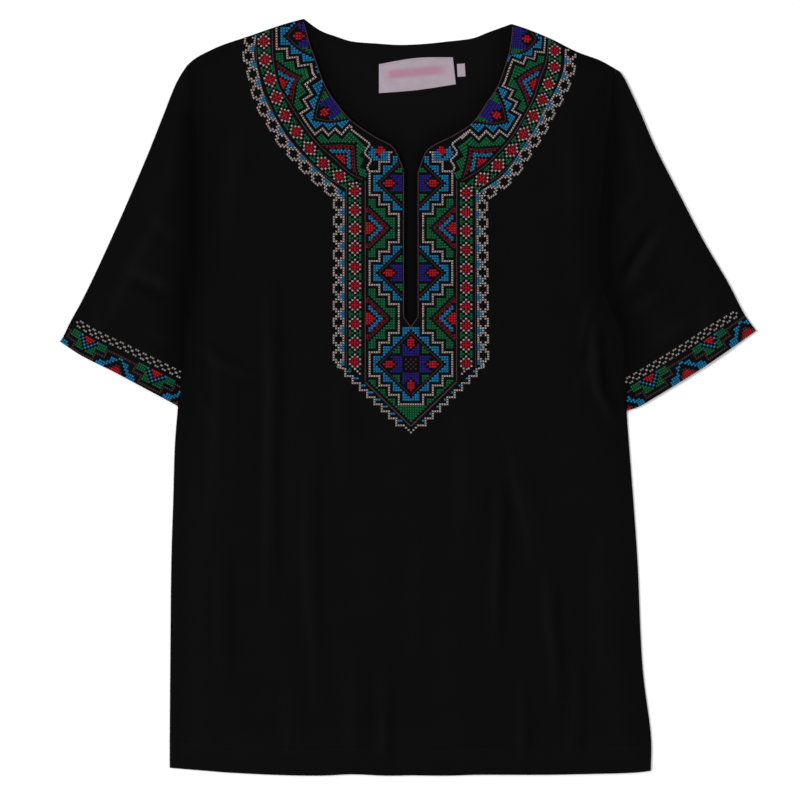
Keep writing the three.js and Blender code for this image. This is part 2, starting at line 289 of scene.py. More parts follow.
def edge(points):
    """A smooth edge through its points: between two points a cubic whose slope at each is half of the run from the
    point before to the point after. Returned as a function of the share of its length."""
    p = np.asarray(points, float)
    before = np.vstack([p[:1], p[:-2]])
    after = np.vstack([p[2:], p[-1:]])
    start, end = p[:-1], p[1:]
    slope_in, slope_out = (end - before) / 2, (after - start) / 2
    t = (np.arange(FINE) / FINE)[None, :, None]
    a, b, v, w = (q[:, None, :] for q in (start, end, slope_in, slope_out))
    curve = (2 * a - 2 * b + v + w) * t**3 + (-3 * a + 3 * b - 2 * v - w) * t**2 + v * t + a
    curve = np.vstack([curve.reshape(-1, 2), p[-1:]])
    run = run_of(curve)

    def at(share):
        return place_at(curve, run, np.clip(np.asarray(share, float), 0, 1) * run[-1])

    at.length = run[-1]
    at.knots = run[::FINE]  # how far along the curve each of its points is
    return at


def straight(start, end):
    """A straight edge between two points."""
    a, b = np.asarray(start, float), np.asarray(end, float)
    return lambda share: a + (b - a) * np.asarray(share, float)[..., None]


def chain(*stretches):
    """Edges end to end. Each takes its own part of the share, by the weight that goes with it."""
    ends = np.cumsum([0.0] + [weight for _, weight in stretches])

    def at(share):
        row = np.asarray(share, float) * ends[-1]
        places = [piece((row - ends[k]) / (ends[k + 1] - ends[k])) for k, (piece, _) in enumerate(stretches)]
        which = np.clip(np.searchsorted(ends, row, side="right") - 1, 0, len(stretches) - 1)
        return np.take_along_axis(np.stack(places), which[None, ..., None], 0)[0]

    return at


def coons(outer, inner, low, high, u, v):
    """A patch between four edges: the blend of outer and inner across u, plus the blend of low and high along v,
    less the blend of the four corners, which both of the first two hold. u and v are arrays of one shape."""
    uu, vv = u[..., None], v[..., None]
    zero, one = np.zeros_like(u), np.ones_like(u)
    across = outer(v) * (1 - uu) + inner(v) * uu
    along = low(u) * (1 - vv) + high(u) * vv
    corners = (low(zero) * (1 - uu) + low(one) * uu) * (1 - vv) + (high(zero) * (1 - uu) + high(one) * uu) * vv
    return across + along - corners


SKIRT, SLIT, NECK = 12, 5, 9  # how the rows of the body are shared out, from the hem to the shoulder
for side in (LEFT, RIGHT):
    side["body"] = chain((edge(side["side"]), SKIRT), (edge(side["armhole"]), SLIT + NECK))
print(f"left side seam {edge(LEFT['side']).length:.0f} mm, armhole {edge(LEFT['armhole']).length:.0f} mm")

# %% [markdown]
# ## How high the cloth lies
#
# Cloth on a table isn't flat. It comes down to the layer below at each seam and hem, stands off it in between, and
# keeps soft creases from how it was pulled straight. The height is worked out once on a fine grid over the whole
# tunic, and then read back by the cloth, the embroidery and the sewing alike, so a stitch can't float or sink.

# %% Distances from an edge, on a grid
STEP = 1.5
GRID_X = np.arange(-402.0, 402.0, STEP)
GRID_Y = np.arange(-432.0, 432.0, STEP)
GX, GY = np.meshgrid(GRID_X, GRID_Y)


def read(field, x, y):
    """The value of a grid at places between its points, as the blend of the four around each place."""
    i = np.clip((x - GRID_X[0]) / STEP, 0, len(GRID_X) - 1.001)
    j = np.clip((y - GRID_Y[0]) / STEP, 0, len(GRID_Y) - 1.001)
    i0, j0 = i.astype(int), j.astype(int)
    a, b = i - i0, j - j0
    low = field[j0, i0] * (1 - a) + field[j0, i0 + 1] * a
    high = field[j0 + 1, i0] * (1 - a) + field[j0 + 1, i0 + 1] * a
    return low * (1 - b) + high * b


def nearest(path, x, y):
    """For each place, its distance from a path of straight runs, the share of the path's length at the nearest
    point, and which side it is on: 1 at the left of the path's direction, -1 at the right."""
    path = np.asarray(path, float)
    runs = np.diff(path, axis=0)
    lengths = np.hypot(*runs.T)
    starts = np.concatenate([[0.0], np.cumsum(lengths)])
    best = np.full(x.shape, np.inf)
    share = np.zeros(x.shape)
    hand = np.ones(x.shape)
    for (px, py), (rx, ry), length, start in zip(path[:-1], runs, lengths, starts):
        dx, dy = x - px, y - py
        t = np.clip((dx * rx + dy * ry) / length**2, 0, 1)
        gap = np.hypot(dx - t * rx, dy - t * ry)
        closer = gap < best
        best = np.where(closer, gap, best)
        share = np.where(closer, (start + t * length) / starts[-1], share)
        hand = np.where(closer, np.where(rx * dy - ry * dx >= 0, 1.0, -1.0), hand)
    return best, share, hand


def gap_to(edges, x, y, fine=60):
    """The distance of each place from the nearest of several edges, each taken as straight runs."""
    return np.min([nearest(e(np.linspace(0, 1, fine)), x, y)[0] for e in edges], axis=0)


def distance(*edges):
    """The distance of each grid point from the nearest of several edges."""
    return gap_to(edges, GX, GY, 36)


def smooth(t):
    """0 below 0, 1 above 1, and level at both ends."""
    t = np.clip(t, 0, 1)
    return t * t * (3 - 2 * t)


FOOT = (CENTRE_X, SLIT_FOOT)
SLIT_EDGES = [
    straight(FOOT, (SLIT_LEFT, SLIT_SHOULDER)), straight((SLIT_LEFT, SLIT_SHOULDER), LEFT["neckline"][0]),
    straight(FOOT, (SLIT_RIGHT, SLIT_SHOULDER)), straight((SLIT_RIGHT, SLIT_SHOULDER), RIGHT["neckline"][0]),
]
FROM_SIDE = distance(edge(LEFT["side"]), edge(RIGHT["side"]))
FROM_SHOULDER = distance(edge(LEFT["shoulder"]), edge(RIGHT["shoulder"]))
FROM_ARMHOLE = distance(edge(LEFT["armhole"]), edge(RIGHT["armhole"]))
FROM_HEM = distance(edge(LEFT["hem"]), edge(RIGHT["hem"]))
FROM_NECK = distance(edge(LEFT["neckline"]), edge(RIGHT["neckline"]), *SLIT_EDGES)
print(f"grid of {GX.size} points; middle of the front is {FROM_SIDE.max():.0f} mm from a side seam")

# %% [markdown]
# ## Creases, one by one
#
# A crease is a line that cloth folded along before it relaxed. Each one here has its own path, height, width and
# swell, and most have a shallow trough on one side, because cloth that is pushed up in one place is taken from
# beside it. A few long slow waves, none in step with another, go under them all.


# %% The crease tables
def crease(path, height, half, trough, peak):
    """Height added by one crease on the grid. Along its path the height swells from nothing to a peak at a given
    share and back. Across it there is a bell of the given half-width, with a shallower bell beside it, lower by
    the trough's share."""
    gap, share, hand = nearest(edge(path)(np.linspace(0, 1, 14)), GX, GY)
    aside = gap * hand / half
    bent = np.where(share < peak, share / (2 * peak), 0.5 + (share - peak) / (2 * (1 - peak)))
    swell = np.sin(np.pi * np.clip(bent, 0, 1)) ** 1.2
    return height * swell * (np.exp(-(aside**2)) - trough * np.exp(-(((aside - 1.7) / 1.1) ** 2)))


def waves(table):
    """Long slow waves: each is a sine across its own heading, with its own length and place in step."""
    total = np.zeros_like(GX)
    for height, length, heading, step in table:
        c, s = math.cos(math.radians(heading)), math.sin(math.radians(heading))
        total += height * np.sin(2 * np.pi * (GX * c + GY * s) / length + step)
    return total


# Each crease: its path, height, half-width, the trough's share, and where along the path it is highest.
FRONT_CREASES = [
    ([(-156, 143), (-153, 20), (-155, -110), (-157, -250)], 2.7, 7.5, 0.5, 0.4),
    ([(-108, -28), (-113, -160), (-106, -280), (-98, -376)], 1.6, 8, 0.5, 0.55),
    ([(-30, -290), (-29, -360), (-30, -414)], 1.8, 6.5, 0.5, 0.75),
    ([(99, -80), (98, -130), (95, -200), (93, -290)], 2.3, 6.5, 0.5, 0.45),
    ([(107, -30), (115, -86), (128, -140), (139, -206)], 2.4, 6.5, -0.5, 0.5),
    ([(151, -180), (154, -245), (160, -300), (162, -350)], 2.4, 6.5, 0.5, 0.5),
    ([(200, 104), (203, 58), (206, 14), (219, -16), (236, -44), (243, -86)], 4.0, 6.2, 0.6, 0.4),
    ([(207, 122), (200, 102), (192, 78), (187, 40)], 1.7, 4.5, 0.6, 0.4),
    ([(-205, 150), (-198, 215), (-188, 280), (-178, 332)], 1.5, 12, 0.3, 0.5),
    ([(184, 182), (178, 240), (172, 290), (166, 332)], 1.5, 12, -0.3, 0.45),
    ([(123, -300), (124, -366), (122, -414)], 1.8, 6.5, 0.5, 0.75),
    ([(-222, 90), (-212, 10), (-214, -90), (-220, -180)], 1.6, 9, -0.4, 0.35),
    ([(-206, -150), (-209, -240), (-203, -330)], 1.2, 8, 0.5, 0.5),
    ([(212, -130), (206, -220), (214, -330)], 1.4, 9, -0.4, 0.5),
    ([(-70, 60), (-76, -20), (-70, -110)], 1.0, 11, 0.3, 0.5),
    ([(52, 10), (58, -90), (50, -190)], 1.0, 10, -0.35, 0.5),
    ([(10, -150), (4, -240), (8, -330)], 0.9, 12, 0.3, 0.5),
    ([(178, -280), (182, -350), (176, -408)], 1.3, 7, 0.5, 0.7),
    ([(-132, -290), (-136, -350), (-130, -410)], 1.2, 7, -0.5, 0.7),
    ([(-66, -250), (-62, -330), (-66, -404)], 1.0, 9, 0.4, 0.65),
    ([(-236, 62), (-214, 40), (-186, 26), (-160, 20)], 1.5, 6, 0.5, 0.3),
    ([(-240, 20), (-222, -20), (-196, -54)], 1.2, 6, 0.45, 0.35),
    ([(236, 66), (214, 50), (190, 20), (172, -30)], 1.2, 7, -0.4, 0.3),
]
# Each wave: its height, length, heading in degrees, and where in its step it starts.
FRONT_WAVES = [(0.34, 148, 4, 0.6), (0.26, 96, -9, 2.2), (0.30, 230, 68, 1.1), (0.16, 61, 12, 4.0), (0.12, 47, 96, 0.4)]
LEFT_CREASES = [
    ([(-244, 118), (-268, 124), (-296, 136), (-320, 152)], 2.1, 8, 0.5, 0.4),
    ([(-262, 222), (-284, 178), (-310, 128), (-332, 78)], 1.6, 9, -0.5, 0.5),
    ([(-240, 60), (-262, 62), (-290, 74)], 1.3, 7, 0.5, 0.35),
    ([(-240, 170), (-262, 180), (-288, 206)], 1.2, 8, 0.4, 0.4),
    ([(-250, 300), (-256, 250), (-270, 200)], 1.0, 9, 0.4, 0.5),
    ([(-336, 62), (-344, 84), (-346, 110)], 1.0, 7, 0.4, 0.4),
]
RIGHT_CREASES = [
    ([(234, 110), (250, 140), (266, 166), (285, 192)], 3.0, 6.5, 0.6, 0.4),
    ([(250, 58), (276, 66), (304, 80), (332, 98)], 1.8, 11, -0.45, 0.5),
    ([(240, 84), (262, 104), (292, 122)], 1.3, 7, 0.5, 0.35),
    ([(222, 190), (244, 214), (262, 246)], 1.2, 8, 0.4, 0.4),
    ([(228, 320), (246, 270), (262, 216)], 1.1, 9, -0.4, 0.5),
    ([(318, 60), (326, 88), (334, 120)], 1.0, 8, 0.4, 0.4),
]
BACK_CREASES = [
    ([(-150, 60), (-146, -100), (-156, -300)], 0.26, 14, 0.3, 0.5),
    ([(120, 40), (128, -120), (118, -320)], 0.26, 13, 0.3, 0.5),
    ([(-70, 350), (-30, 330), (20, 326), (74, 344)], 0.22, 12, 0.3, 0.5),
    ([(-64, 372), (-40, 356), (-38, 338)], 0.18, 8, 0.3, 0.5),
    ([(70, 372), (60, 352), (66, 328)], 0.18, 8, 0.3, 0.5),
]


def raised(creases, table):
    """The sum of a table of creases and a table of waves."""
    return sum(crease(*row) for row in creases) + waves(table)


print(f"{len(FRONT_CREASES)} creases on the front, {len(LEFT_CREASES) + len(RIGHT_CREASES)} on the sleeves")

# %% Heights of the front and of the sleeves
SETTLE = 42.0  # distance from an edge over which a layer comes down onto the one below it
FRONT_REST, FRONT_LOFT = 2.1, 1.8  # middle of the front's cloth at an edge, and how far it stands off inside it
CREASE_SHARE = 0.75  # the share of the tables' heights that the relaxed cloth keeps
SLEEVE_LOFT = 1.2
SEAM_GAP = 0.3  # how far outside the body a sleeve starts
FOLD_RADIUS = 1.35  # outer radius of the tight fold along a flattened sleeve
HEM_DEPTH = 33.0  # depth of the hem that is turned up inside


def bell(t):
    """1 at 0, and down to nearly nothing past 2."""
    return np.exp(-(t**2))


from_edge = np.minimum(np.minimum(FROM_SIDE, FROM_SHOULDER), np.minimum(FROM_ARMHOLE, FROM_HEM))
FRONT = FRONT_REST + smooth(from_edge / SETTLE) * (FRONT_LOFT + CREASE_SHARE * raised(FRONT_CREASES, FRONT_WAVES))
FRONT -= 0.9 * (1 - smooth(FROM_NECK / 16))  # the neckline and the slit settle a little
FRONT += 0.30 * bell((FROM_NECK - 2.4) / 1.8)  # the rolled edge of their facing
FRONT += 0.28 * (1 - smooth((FROM_HEM - HEM_DEPTH + 1.5) / 3))  # two layers of cloth in the hem
FRONT += 0.30 * bell((FROM_ARMHOLE - 4.0) / 3.6) - 0.1 * bell((FROM_ARMHOLE - 10.0) / 2.6)  # the armhole seam
FRONT += 0.25 * bell((FROM_SIDE - 5.0) / 2.6)  # the side seam's allowance, pressed to the front


def sleeve_edges(side, outward):
    """A sleeve's four edges. Its armhole end follows the body a seam's space outside it, and its short underarm
    seam runs from there to the cuff."""
    aside = np.array([outward * SEAM_GAP, 0.0])
    armhole = edge(side["armhole"])
    lowest = straight(armhole(0.0), armhole(1 / (SLIT + NECK)))
    low = lambda u: armhole(1 - u * (SLIT + NECK - 1) / (SLIT + NECK)) + aside
    inner = lambda v: lowest(1 - v * 0.8) + aside
    outer = edge([armhole(1.0) + aside] + side["sleeve_top"][1:])
    high = edge(side["cuff"][:-1] + [tuple(inner(np.array(1.0)))])
    return {"outer": outer, "inner": inner, "low": low, "high": high}


SLEEVES = {}
for name, side, outward, creases in (("left", LEFT, -1, LEFT_CREASES), ("right", RIGHT, 1, RIGHT_CREASES)):
    edges = sleeve_edges(side, outward)
    gap = distance(edges["outer"], edges["inner"], edges["low"])
    folds = raised(creases, [(0.3, 90, 60 * outward, 1.0), (0.2, 57, 20 * outward, 2.0)])
    loft = smooth(gap / SETTLE) * (SLEEVE_LOFT + folds)
    loft += 0.22 * bell((distance(edges["low"]) - 5.0) / 3.0)
    SLEEVES[name] = {"edges": edges, "loft": loft, "outward": outward}
BACK = 0.42 + smooth(from_edge / SETTLE) * np.clip(raised(BACK_CREASES, [(0.06, 120, 30, 0.5)]), -0.02, 0.3)


def blurred(field, size):
    """A grid averaged under a bell of the given half-width. In the grid's spectrum that is one product, because the
    spectrum of a bell is a bell again."""
    across, along = (np.fft.fftfreq(n, STEP) for n in field.shape)
    keep = np.exp(-2 * (np.pi * size) ** 2 * (across[:, None] ** 2 + along[None, :] ** 2))
    return np.fft.ifft2(np.fft.fft2(field) * keep).real


def ridges(height):
    """0.5 on level cloth, up to 1 along the ridges and down to 0 in the hollows, where less light gets in."""
    return np.clip(0.5 + 0.26 * (height - blurred(height, 7.0)) + 0.10 * (height - blurred(height, 22.0)), 0, 1)


SEAM_SHADOW_SPAN = smooth((325 - GY) / 50) * smooth((GY - 60) / 70)  # painted shadow: the heights between which the armhole seam's painted shade is darkest
# painted light and shade: ridges paler, hollows darker, and a dark painted shadow along each armhole seam
FRONT_SHADE = ridges(FRONT) - (0.2 + 0.4 * SEAM_SHADOW_SPAN) * bell((FROM_ARMHOLE - 1.0) / 3.5)
# painted shade: the front is darker for a few centimetres beside each armhole
FRONT_SHADE -= 0.10 * bell(FROM_ARMHOLE / 45)
FRONT_SHADE += 0.05 - 0.10 * smooth((GY + 160) / 360) + 0.10 * bell(FROM_HEM / 30)  # painted light: darker towards the top; also paler along the hem
# painted light and shade: the back's folds paler on ridges, darker in hollows, and darker in the shadow of the front's
# neckline edge
BACK_SHADE = 0.58 + 0.8 * (BACK - blurred(BACK, 9.0)) - 0.35 * (1 - smooth(FROM_NECK / 26))
for parts, dark in zip(SLEEVES.values(), (0.34, 0.22)):  # the left sleeve's seam is more in shadow
    from_seam = distance(parts["edges"]["low"])
    # painted light and shade: ridges paler, hollows darker, a dark painted shadow along the armhole seam and a wider
    # shaded band beside it
    parts["shade"] = ridges(parts["loft"]) - (0.1 + 0.6 * SEAM_SHADOW_SPAN) * bell((from_seam - 2.0) / 5.0)
    parts["shade"] -= dark * bell(from_seam / 30) * smooth((380 - GY) / 120)
print(f"front stands {FRONT.max():.1f} mm high at most, above its back at 0")

# %% [markdown]
# ## Cloth as a thin closed shell
#
# Cloth could be a single surface with a Solidify modifier, which gives square-cut rims. A real hem or facing is a
# turned edge, which is round, so each panel here gets its own upper and lower side. They close towards each other
# over the last millimetre as a half circle does, and a narrow rim joins them.


# %% Making a mesh and a shell
def build(name, points, faces, uv=None, shade=None):
    """An object at the origin, from points in millimetres and arrays of faces. A closed mesh whose signed volume
    is negative has its faces turned round, so that they point outwards."""
    points = np.asarray(points, float)
    volume = 0.0
    for block in faces:
        p = points[block]
        for k in range(1, block.shape[1] - 1):
            volume += np.einsum("ij,ij->i", p[:, 0], np.cross(p[:, k], p[:, k + 1])).sum()
    faces = [block if volume >= 0 else block[:, ::-1] for block in faces]
    loops = np.concatenate([block.ravel() for block in faces])
    totals = np.concatenate([np.full(len(block), block.shape[1]) for block in faces])
    mesh = bpy.data.meshes.new(name)
    mesh.vertices.add(len(points))
    mesh.vertices.foreach_set("co", (points * MM).ravel())
    mesh.loops.add(len(loops))
    mesh.loops.foreach_set("vertex_index", loops)
    mesh.polygons.add(len(totals))
    mesh.polygons.foreach_set("loop_start", np.concatenate([[0], np.cumsum(totals)[:-1]]))
    mesh.polygons.foreach_set("use_smooth", np.ones(len(totals), bool))
    mesh.update(calc_edges=True)
    if uv is not None:
        layer = mesh.uv_layers.new(name="grain")
        layer.data.foreach_set("uv", (np.asarray(uv) * MM)[loops].ravel())
    if shade is not None:
        mesh.attributes.new("shade", "FLOAT", "POINT").data.foreach_set("value", shade)
    made = bpy.data.objects.new(name, mesh)
    bpy.context.collection.objects.link(made)
    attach(made, "root")
    return made


def quads(rows, columns):
    """The corner numbers of every square of a grid, whose points are numbered along its rows."""
    i = np.arange(rows * columns).reshape(rows, columns)
    return np.stack([i[:-1, :-1], i[:-1, 1:], i[1:, 1:], i[1:, :-1]], -1).reshape(-1, 4)


def rim(squares):
    """The edges that only one square uses, each as (from, to) in that square's own direction."""
    pairs = np.concatenate([squares[:, [0, 1]], squares[:, [1, 2]], squares[:, [2, 3]], squares[:, [3, 0]]])
    size = squares.max() + 1
    return pairs[~np.isin(pairs[:, 0] * size + pairs[:, 1], pairs[:, 1] * size + pairs[:, 0])]


TURN_RADIUS, THINNEST = 0.9, 0.16  # radius of a turned edge, and the share of its thickness left at the rim


def quarter(t):
    """The height of a quarter circle over t: 0 at 0, and 1 from 1 on, where it is level."""
    return np.sqrt(1 - (1 - np.clip(t, 0, 1)) ** 2)


def roundness(gap):
    """The share of its full thickness that cloth has near a turned edge: that of a half circle, never quite 0."""
    return np.maximum(quarter(gap / TURN_RADIUS), THINNEST)


def shell(name, grids, middle, borders, thickness, shade=None):
    """A closed shell over one or more grids of (x, y) places that share some border points. middle gives the
    height of the cloth's middle, and the thickness closes towards the borders. shade is a grid of painted light and
    shade to read."""
    squares, first = [], 0
    for grid in grids:
        squares.append(quads(*grid.shape[:2]) + first)
        first += grid.shape[0] * grid.shape[1]
    places = np.concatenate([grid.reshape(-1, 2) for grid in grids])
    _, kept, number = np.unique(np.round(places, 3), axis=0, return_index=True, return_inverse=True)
    places, squares = places[kept], number.ravel()[np.concatenate(squares)]
    x, y = places.T
    half = roundness(gap_to(borders, x, y)) * thickness / 2
    z = middle(x, y)
    points = np.concatenate([np.c_[x, y, z + half], np.c_[x, y, z - half]])
    low = len(places)
    a, b = rim(squares).T
    faces = [squares, squares[:, ::-1] + low, np.stack([a + low, b + low, b, a], -1)]
    uv = np.c_[x, y]
    # the painted light and shade that each point carries, 0.5 where none is given
    painted_tone = np.full(len(x), 0.5) if shade is None else np.clip(read(shade, x, y), 0, 1)
    return build(name, points, faces, uv=np.concatenate([uv, uv]), shade=np.concatenate([painted_tone, painted_tone]))


def shares(count, ends=(0.0, 0.0015, 0.004, 0.0085, 0.016), evenly=0.026):
    """Shares from 0 to 1, close together at both ends where an edge turns, and even between them."""
    near = np.array(ends)
    return np.concatenate([near, np.linspace(evenly, 1 - evenly, count), 1 - near[::-1]])


print("a quarter of the way into a turned edge, cloth has", roundness(np.array([0.225])).round(2), "of its thickness")

# %% [markdown]
# ## The front
#
# The front is cut in one piece with a slit down from the neck. As a grid it is two halves, which share the centre
# line from the hem up to the foot of the slit and part there. At the side and shoulder seams the cloth curves down
# to meet the back, and at the hem it just lies on it.

# %% Front panel
FRONT_CLOTH, BACK_CLOTH, SLEEVE_CLOTH = 0.8, 0.8, 0.7
SEAM_DROP, SEAM_REACH = 1.15, 7.0  # how far the front comes down to the back at a seam, and over what width
HALF_COLUMNS = 84  # even columns across half of the front
ROWS = np.unique(np.concatenate([np.arange(209) / 208, [0.0005, 0.0013, 0.0028, 0.9972, 0.9987, 0.9995]]))


def seam_drop(gap):
    """A quarter-round from the seam up to the cloth's own height."""
    return SEAM_DROP * (1 - quarter(gap / SEAM_REACH))


SEAMS = [edge(s[k]) for s in (LEFT, RIGHT) for k in ("side", "shoulder")]
ARMHOLES = [edge(s["armhole"]) for s in (LEFT, RIGHT)]
HEMS = [edge(s["hem"]) for s in (LEFT, RIGHT)]
NECKLINES = [edge(s["neckline"]) for s in (LEFT, RIGHT)]


def front_middle(x, y):
    """Height of the middle of the front's cloth, from the grid, less its drop to the seams."""
    return read(FRONT, x, y) - seam_drop(gap_to(SEAMS, x, y))


def front_half(side, slit_x, turned):
    """The places of one half: across from the outer edge to the centre line, slit or neckline, and up from the
    hem to the shoulder."""
    inner = chain(
        (straight(side["hem"][-1], FOOT), SKIRT),
        (straight(FOOT, (slit_x, SLIT_SHOULDER)), 1),
        (straight((slit_x, SLIT_SHOULDER), side["neckline"][0]), SLIT - 1),
        (edge(side["neckline"]), NECK),
    )
    u, v = np.meshgrid(shares(HALF_COLUMNS), ROWS)
    grid = coons(side["body"], inner, edge(side["hem"]), edge(side["shoulder"]), u, v)
    return grid[:, ::-1] if turned else grid


front = shell(
    "front_cloth",
    [front_half(LEFT, SLIT_LEFT, False), front_half(RIGHT, SLIT_RIGHT, True)],
    front_middle,
    SEAMS + ARMHOLES + HEMS + NECKLINES + SLIT_EDGES,
    FRONT_CLOTH,
    FRONT_SHADE,
)
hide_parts("front_panel")
print(f"front: {len(front.data.polygons)} faces, closed shell {FRONT_CLOTH} mm thick")

# %% [markdown]
# ## The back
#
# The back is a single patch from side to side, with the shoulders and the back neck as its upper edge. It lies
# almost flat, because the table holds it, and curls up a little along the seams to meet the front.

# %% Back panel


def back_middle(x, y):
    """Height of the middle of the back's cloth: nearly flat, with a small curl up at the seams."""
    return read(BACK, x, y) + 0.22 * (1 - smooth(gap_to(SEAMS, x, y) / 5.0))


def reversed_edge(points):
    """An edge that runs the other way."""
    return edge(points[::-1])


back_u, back_v = np.meshgrid(shares(104), shares(132, (0.0, 0.0005, 0.0013, 0.0028), 0.005))
back_low = chain((edge(LEFT["hem"]), 1), (reversed_edge(RIGHT["hem"]), 1))
back_high = chain((edge(LEFT["shoulder"]), 6), (edge(BACK_NECK), 10), (reversed_edge(RIGHT["shoulder"]), 6))
back_grid = coons(LEFT["body"], RIGHT["body"], back_low, back_high, back_u, back_v)
back = shell("back_cloth", [back_grid], back_middle, SEAMS + ARMHOLES + HEMS + [edge(BACK_NECK)], BACK_CLOTH,
             BACK_SHADE)
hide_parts("back_panel")
print(f"back: {len(back.data.polygons)} faces")

# %% [markdown]
# ## The sleeves
#
# A short sleeve pressed flat is a tube, so it is made as rings. Each ring runs over the upper layer, round the
# fold, back under the lower layer and round the other fold. A second set of rings, a cloth's thickness inside the
# first, makes the wall, and the two meet in a round lip at the cuff and at the armhole.


# %% Sleeves
SLEEVE_LENGTH = 240.0  # from the armhole to the cuff
SLEEVE_TURN = 62.0  # degrees between the body's grain and a sleeve's


def sleeve(name, key):
    """A flattened tube. Round each fold a point goes through a half circle, over the top the height is the loft
    from the grid, and underneath it is level."""
    parts = SLEEVES[key]
    edges, outward = parts["edges"], parts["outward"]
    v = shares(66)
    ends = np.minimum(v, 1 - v) * SLEEVE_LENGTH
    closing = SLEEVE_CLOTH / 2 * (1 - roundness(ends))
    bend = np.linspace(0, np.pi, 9)
    over, under = np.linspace(0, 1, 82)[1:-1], np.linspace(1, 0, 42)[1:-1]
    span = np.hypot(*(edges["outer"](v) - edges["inner"](v)).T)
    surfaces = []
    for inset in (closing, SLEEVE_CLOTH - closing):
        radius = (FOLD_RADIUS - inset)[:, None]
        tuck = (FOLD_RADIUS - radius * np.sin(bend)) / span[:, None]
        full = np.ones((len(v), 1))
        edge_u = FOLD_RADIUS / span[:, None]
        top_u = edge_u + over * (1 - 2 * edge_u)
        low_u = edge_u + under * (1 - 2 * edge_u)
        u = np.concatenate([tuck, top_u, 1 - tuck, low_u], 1)
        level = np.concatenate([
            FOLD_RADIUS - radius * np.cos(bend),
            full * 2 * FOLD_RADIUS - inset[:, None] + 0 * over,
            FOLD_RADIUS + radius * np.cos(bend),
            inset[:, None] + 0 * under,
        ], 1)
        place = coons(edges["outer"], edges["inner"], edges["low"], edges["high"], u, v[:, None] + 0 * u)
        on_top = (np.arange(u.shape[1]) >= len(bend)) & (np.arange(u.shape[1]) < len(bend) + len(over))
        level = level + read(parts["loft"], place[..., 0], place[..., 1]) * on_top
        surfaces.append(np.concatenate([place, level[..., None]], -1))
    around = surfaces[0].shape[1]
    ring = np.arange(around)
    strip = np.arange(len(v) - 1)[:, None] * around
    a, b = strip + ring, strip + (ring + 1) % around
    skin = np.stack([a, b, b + around, a + around], -1).reshape(-1, 4)
    inner = len(v) * around
    first, last = ring, ring + (len(v) - 1) * around
    after = (ring + 1) % around
    lips = np.concatenate([
        np.stack([first, first + inner, after + inner, after], -1),
        np.stack([last, after + last[0], after + last[0] + inner, last + inner], -1),
    ])
    points = np.concatenate([s.reshape(-1, 3) for s in surfaces])
    turn = math.radians(SLEEVE_TURN * outward)
    x, y = points[:, 0], points[:, 1]
    uv = np.c_[x * math.cos(turn) + y * math.sin(turn), y * math.cos(turn) - x * math.sin(turn)]
    shade = np.clip(read(parts["shade"], x, y), 0, 1)
    made = build(name, points, [skin, skin[:, ::-1] + inner, lips], uv=uv, shade=shade)
    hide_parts("sleeve_" + key)
    print(f"{name}: {len(made.data.polygons)} faces, {span.min():.0f} to {span.max():.0f} mm wide pressed flat")
    return made


sleeves = {key: sleeve(f"sleeve_{key}_cloth", key) for key in ("left", "right")}

# %% [markdown]
# ## Cross-stitch, one stitch at a time
#
# Cross-stitch is worked on a grid: each small square gets two short strands of thread, one over the other, in an
# X. It could be a coloured pattern on the cloth, but the thread stands half a millimetre proud and catches the
# light, so every strand here is a small mesh of its own, arched over the cloth and pointed where it goes in.
#
# A chart says which squares are worked in which colour. The bands bend round the neck, so each chart is laid along
# a curve: a strip turns (row, column) into a place. Most motifs are made of steps and diagonals, so the charts can
# be written as rules on whole numbers, and the small repeats as lines of letters.

# %% Strips and squares
PX = 1.1  # the charts' curves were drawn on paper ruled in squares of this many millimetres
SHEET_X, SHEET_Y = 408.5, 397.0
SQUARE = 2.43  # width of one square of cross-stitch on the ruled sheet
CELL = SQUARE * PX  # the same on the tunic
ROW = 2.382 * PX  # height of one square on the placket
COLOURS = ("cream", "grey", "red", "crimson", "green", "sky", "royal", "brown")
LETTER = {"C": "cream", "R": "red", "D": "crimson", "G": "green", "S": "sky", "U": "royal", "B": "brown"}


def drawn(points):
    """Places on the ruled sheet, whose rows count downwards, as places on the tunic."""
    p = np.asarray(points, float)
    return np.stack([(p[..., 0] - SHEET_X) * PX, (SHEET_Y - p[..., 1]) * PX], -1)


def through(numbers, places):
    """A map through pairs of numbers, straight between them and straight on past both ends."""
    n, p = np.asarray(numbers, float), np.asarray(places, float)

    def at(number):
        number = np.asarray(number, float)
        k = np.clip(np.searchsorted(n, number, side="right") - 1, 0, len(n) - 2)
        return p[k] + (number - n[k]) * (p[k + 1] - p[k]) / (n[k + 1] - n[k])

    return at


def evenly(pitch):
    """Rows or columns that are all of one pitch."""
    return lambda number, run=0.0: number * pitch + 0 * run


def strip(path, along, across):
    """A function from (row, column) to a place. along turns a row into a length along the curve. across turns a
    column, and that length, into a distance square to the curve, to the left of its direction where it is above 0."""
    curve = edge(path)
    length = curve.length

    def at(row, column):
        run = along(np.asarray(row, float))
        held = np.clip(run / length, 0, 1)
        way = curve(np.clip(held + 0.02, 0, 1)) - curve(np.clip(held - 0.02, 0, 1))
        way = unit(way)
        past = (run - held * length)[..., None]
        return curve(held) + way * past + to_left(way) * across(np.asarray(column, float), run)[..., None]

    return at


stitches = []  # each is (colour, the four corners of its square, the panel that carries it)


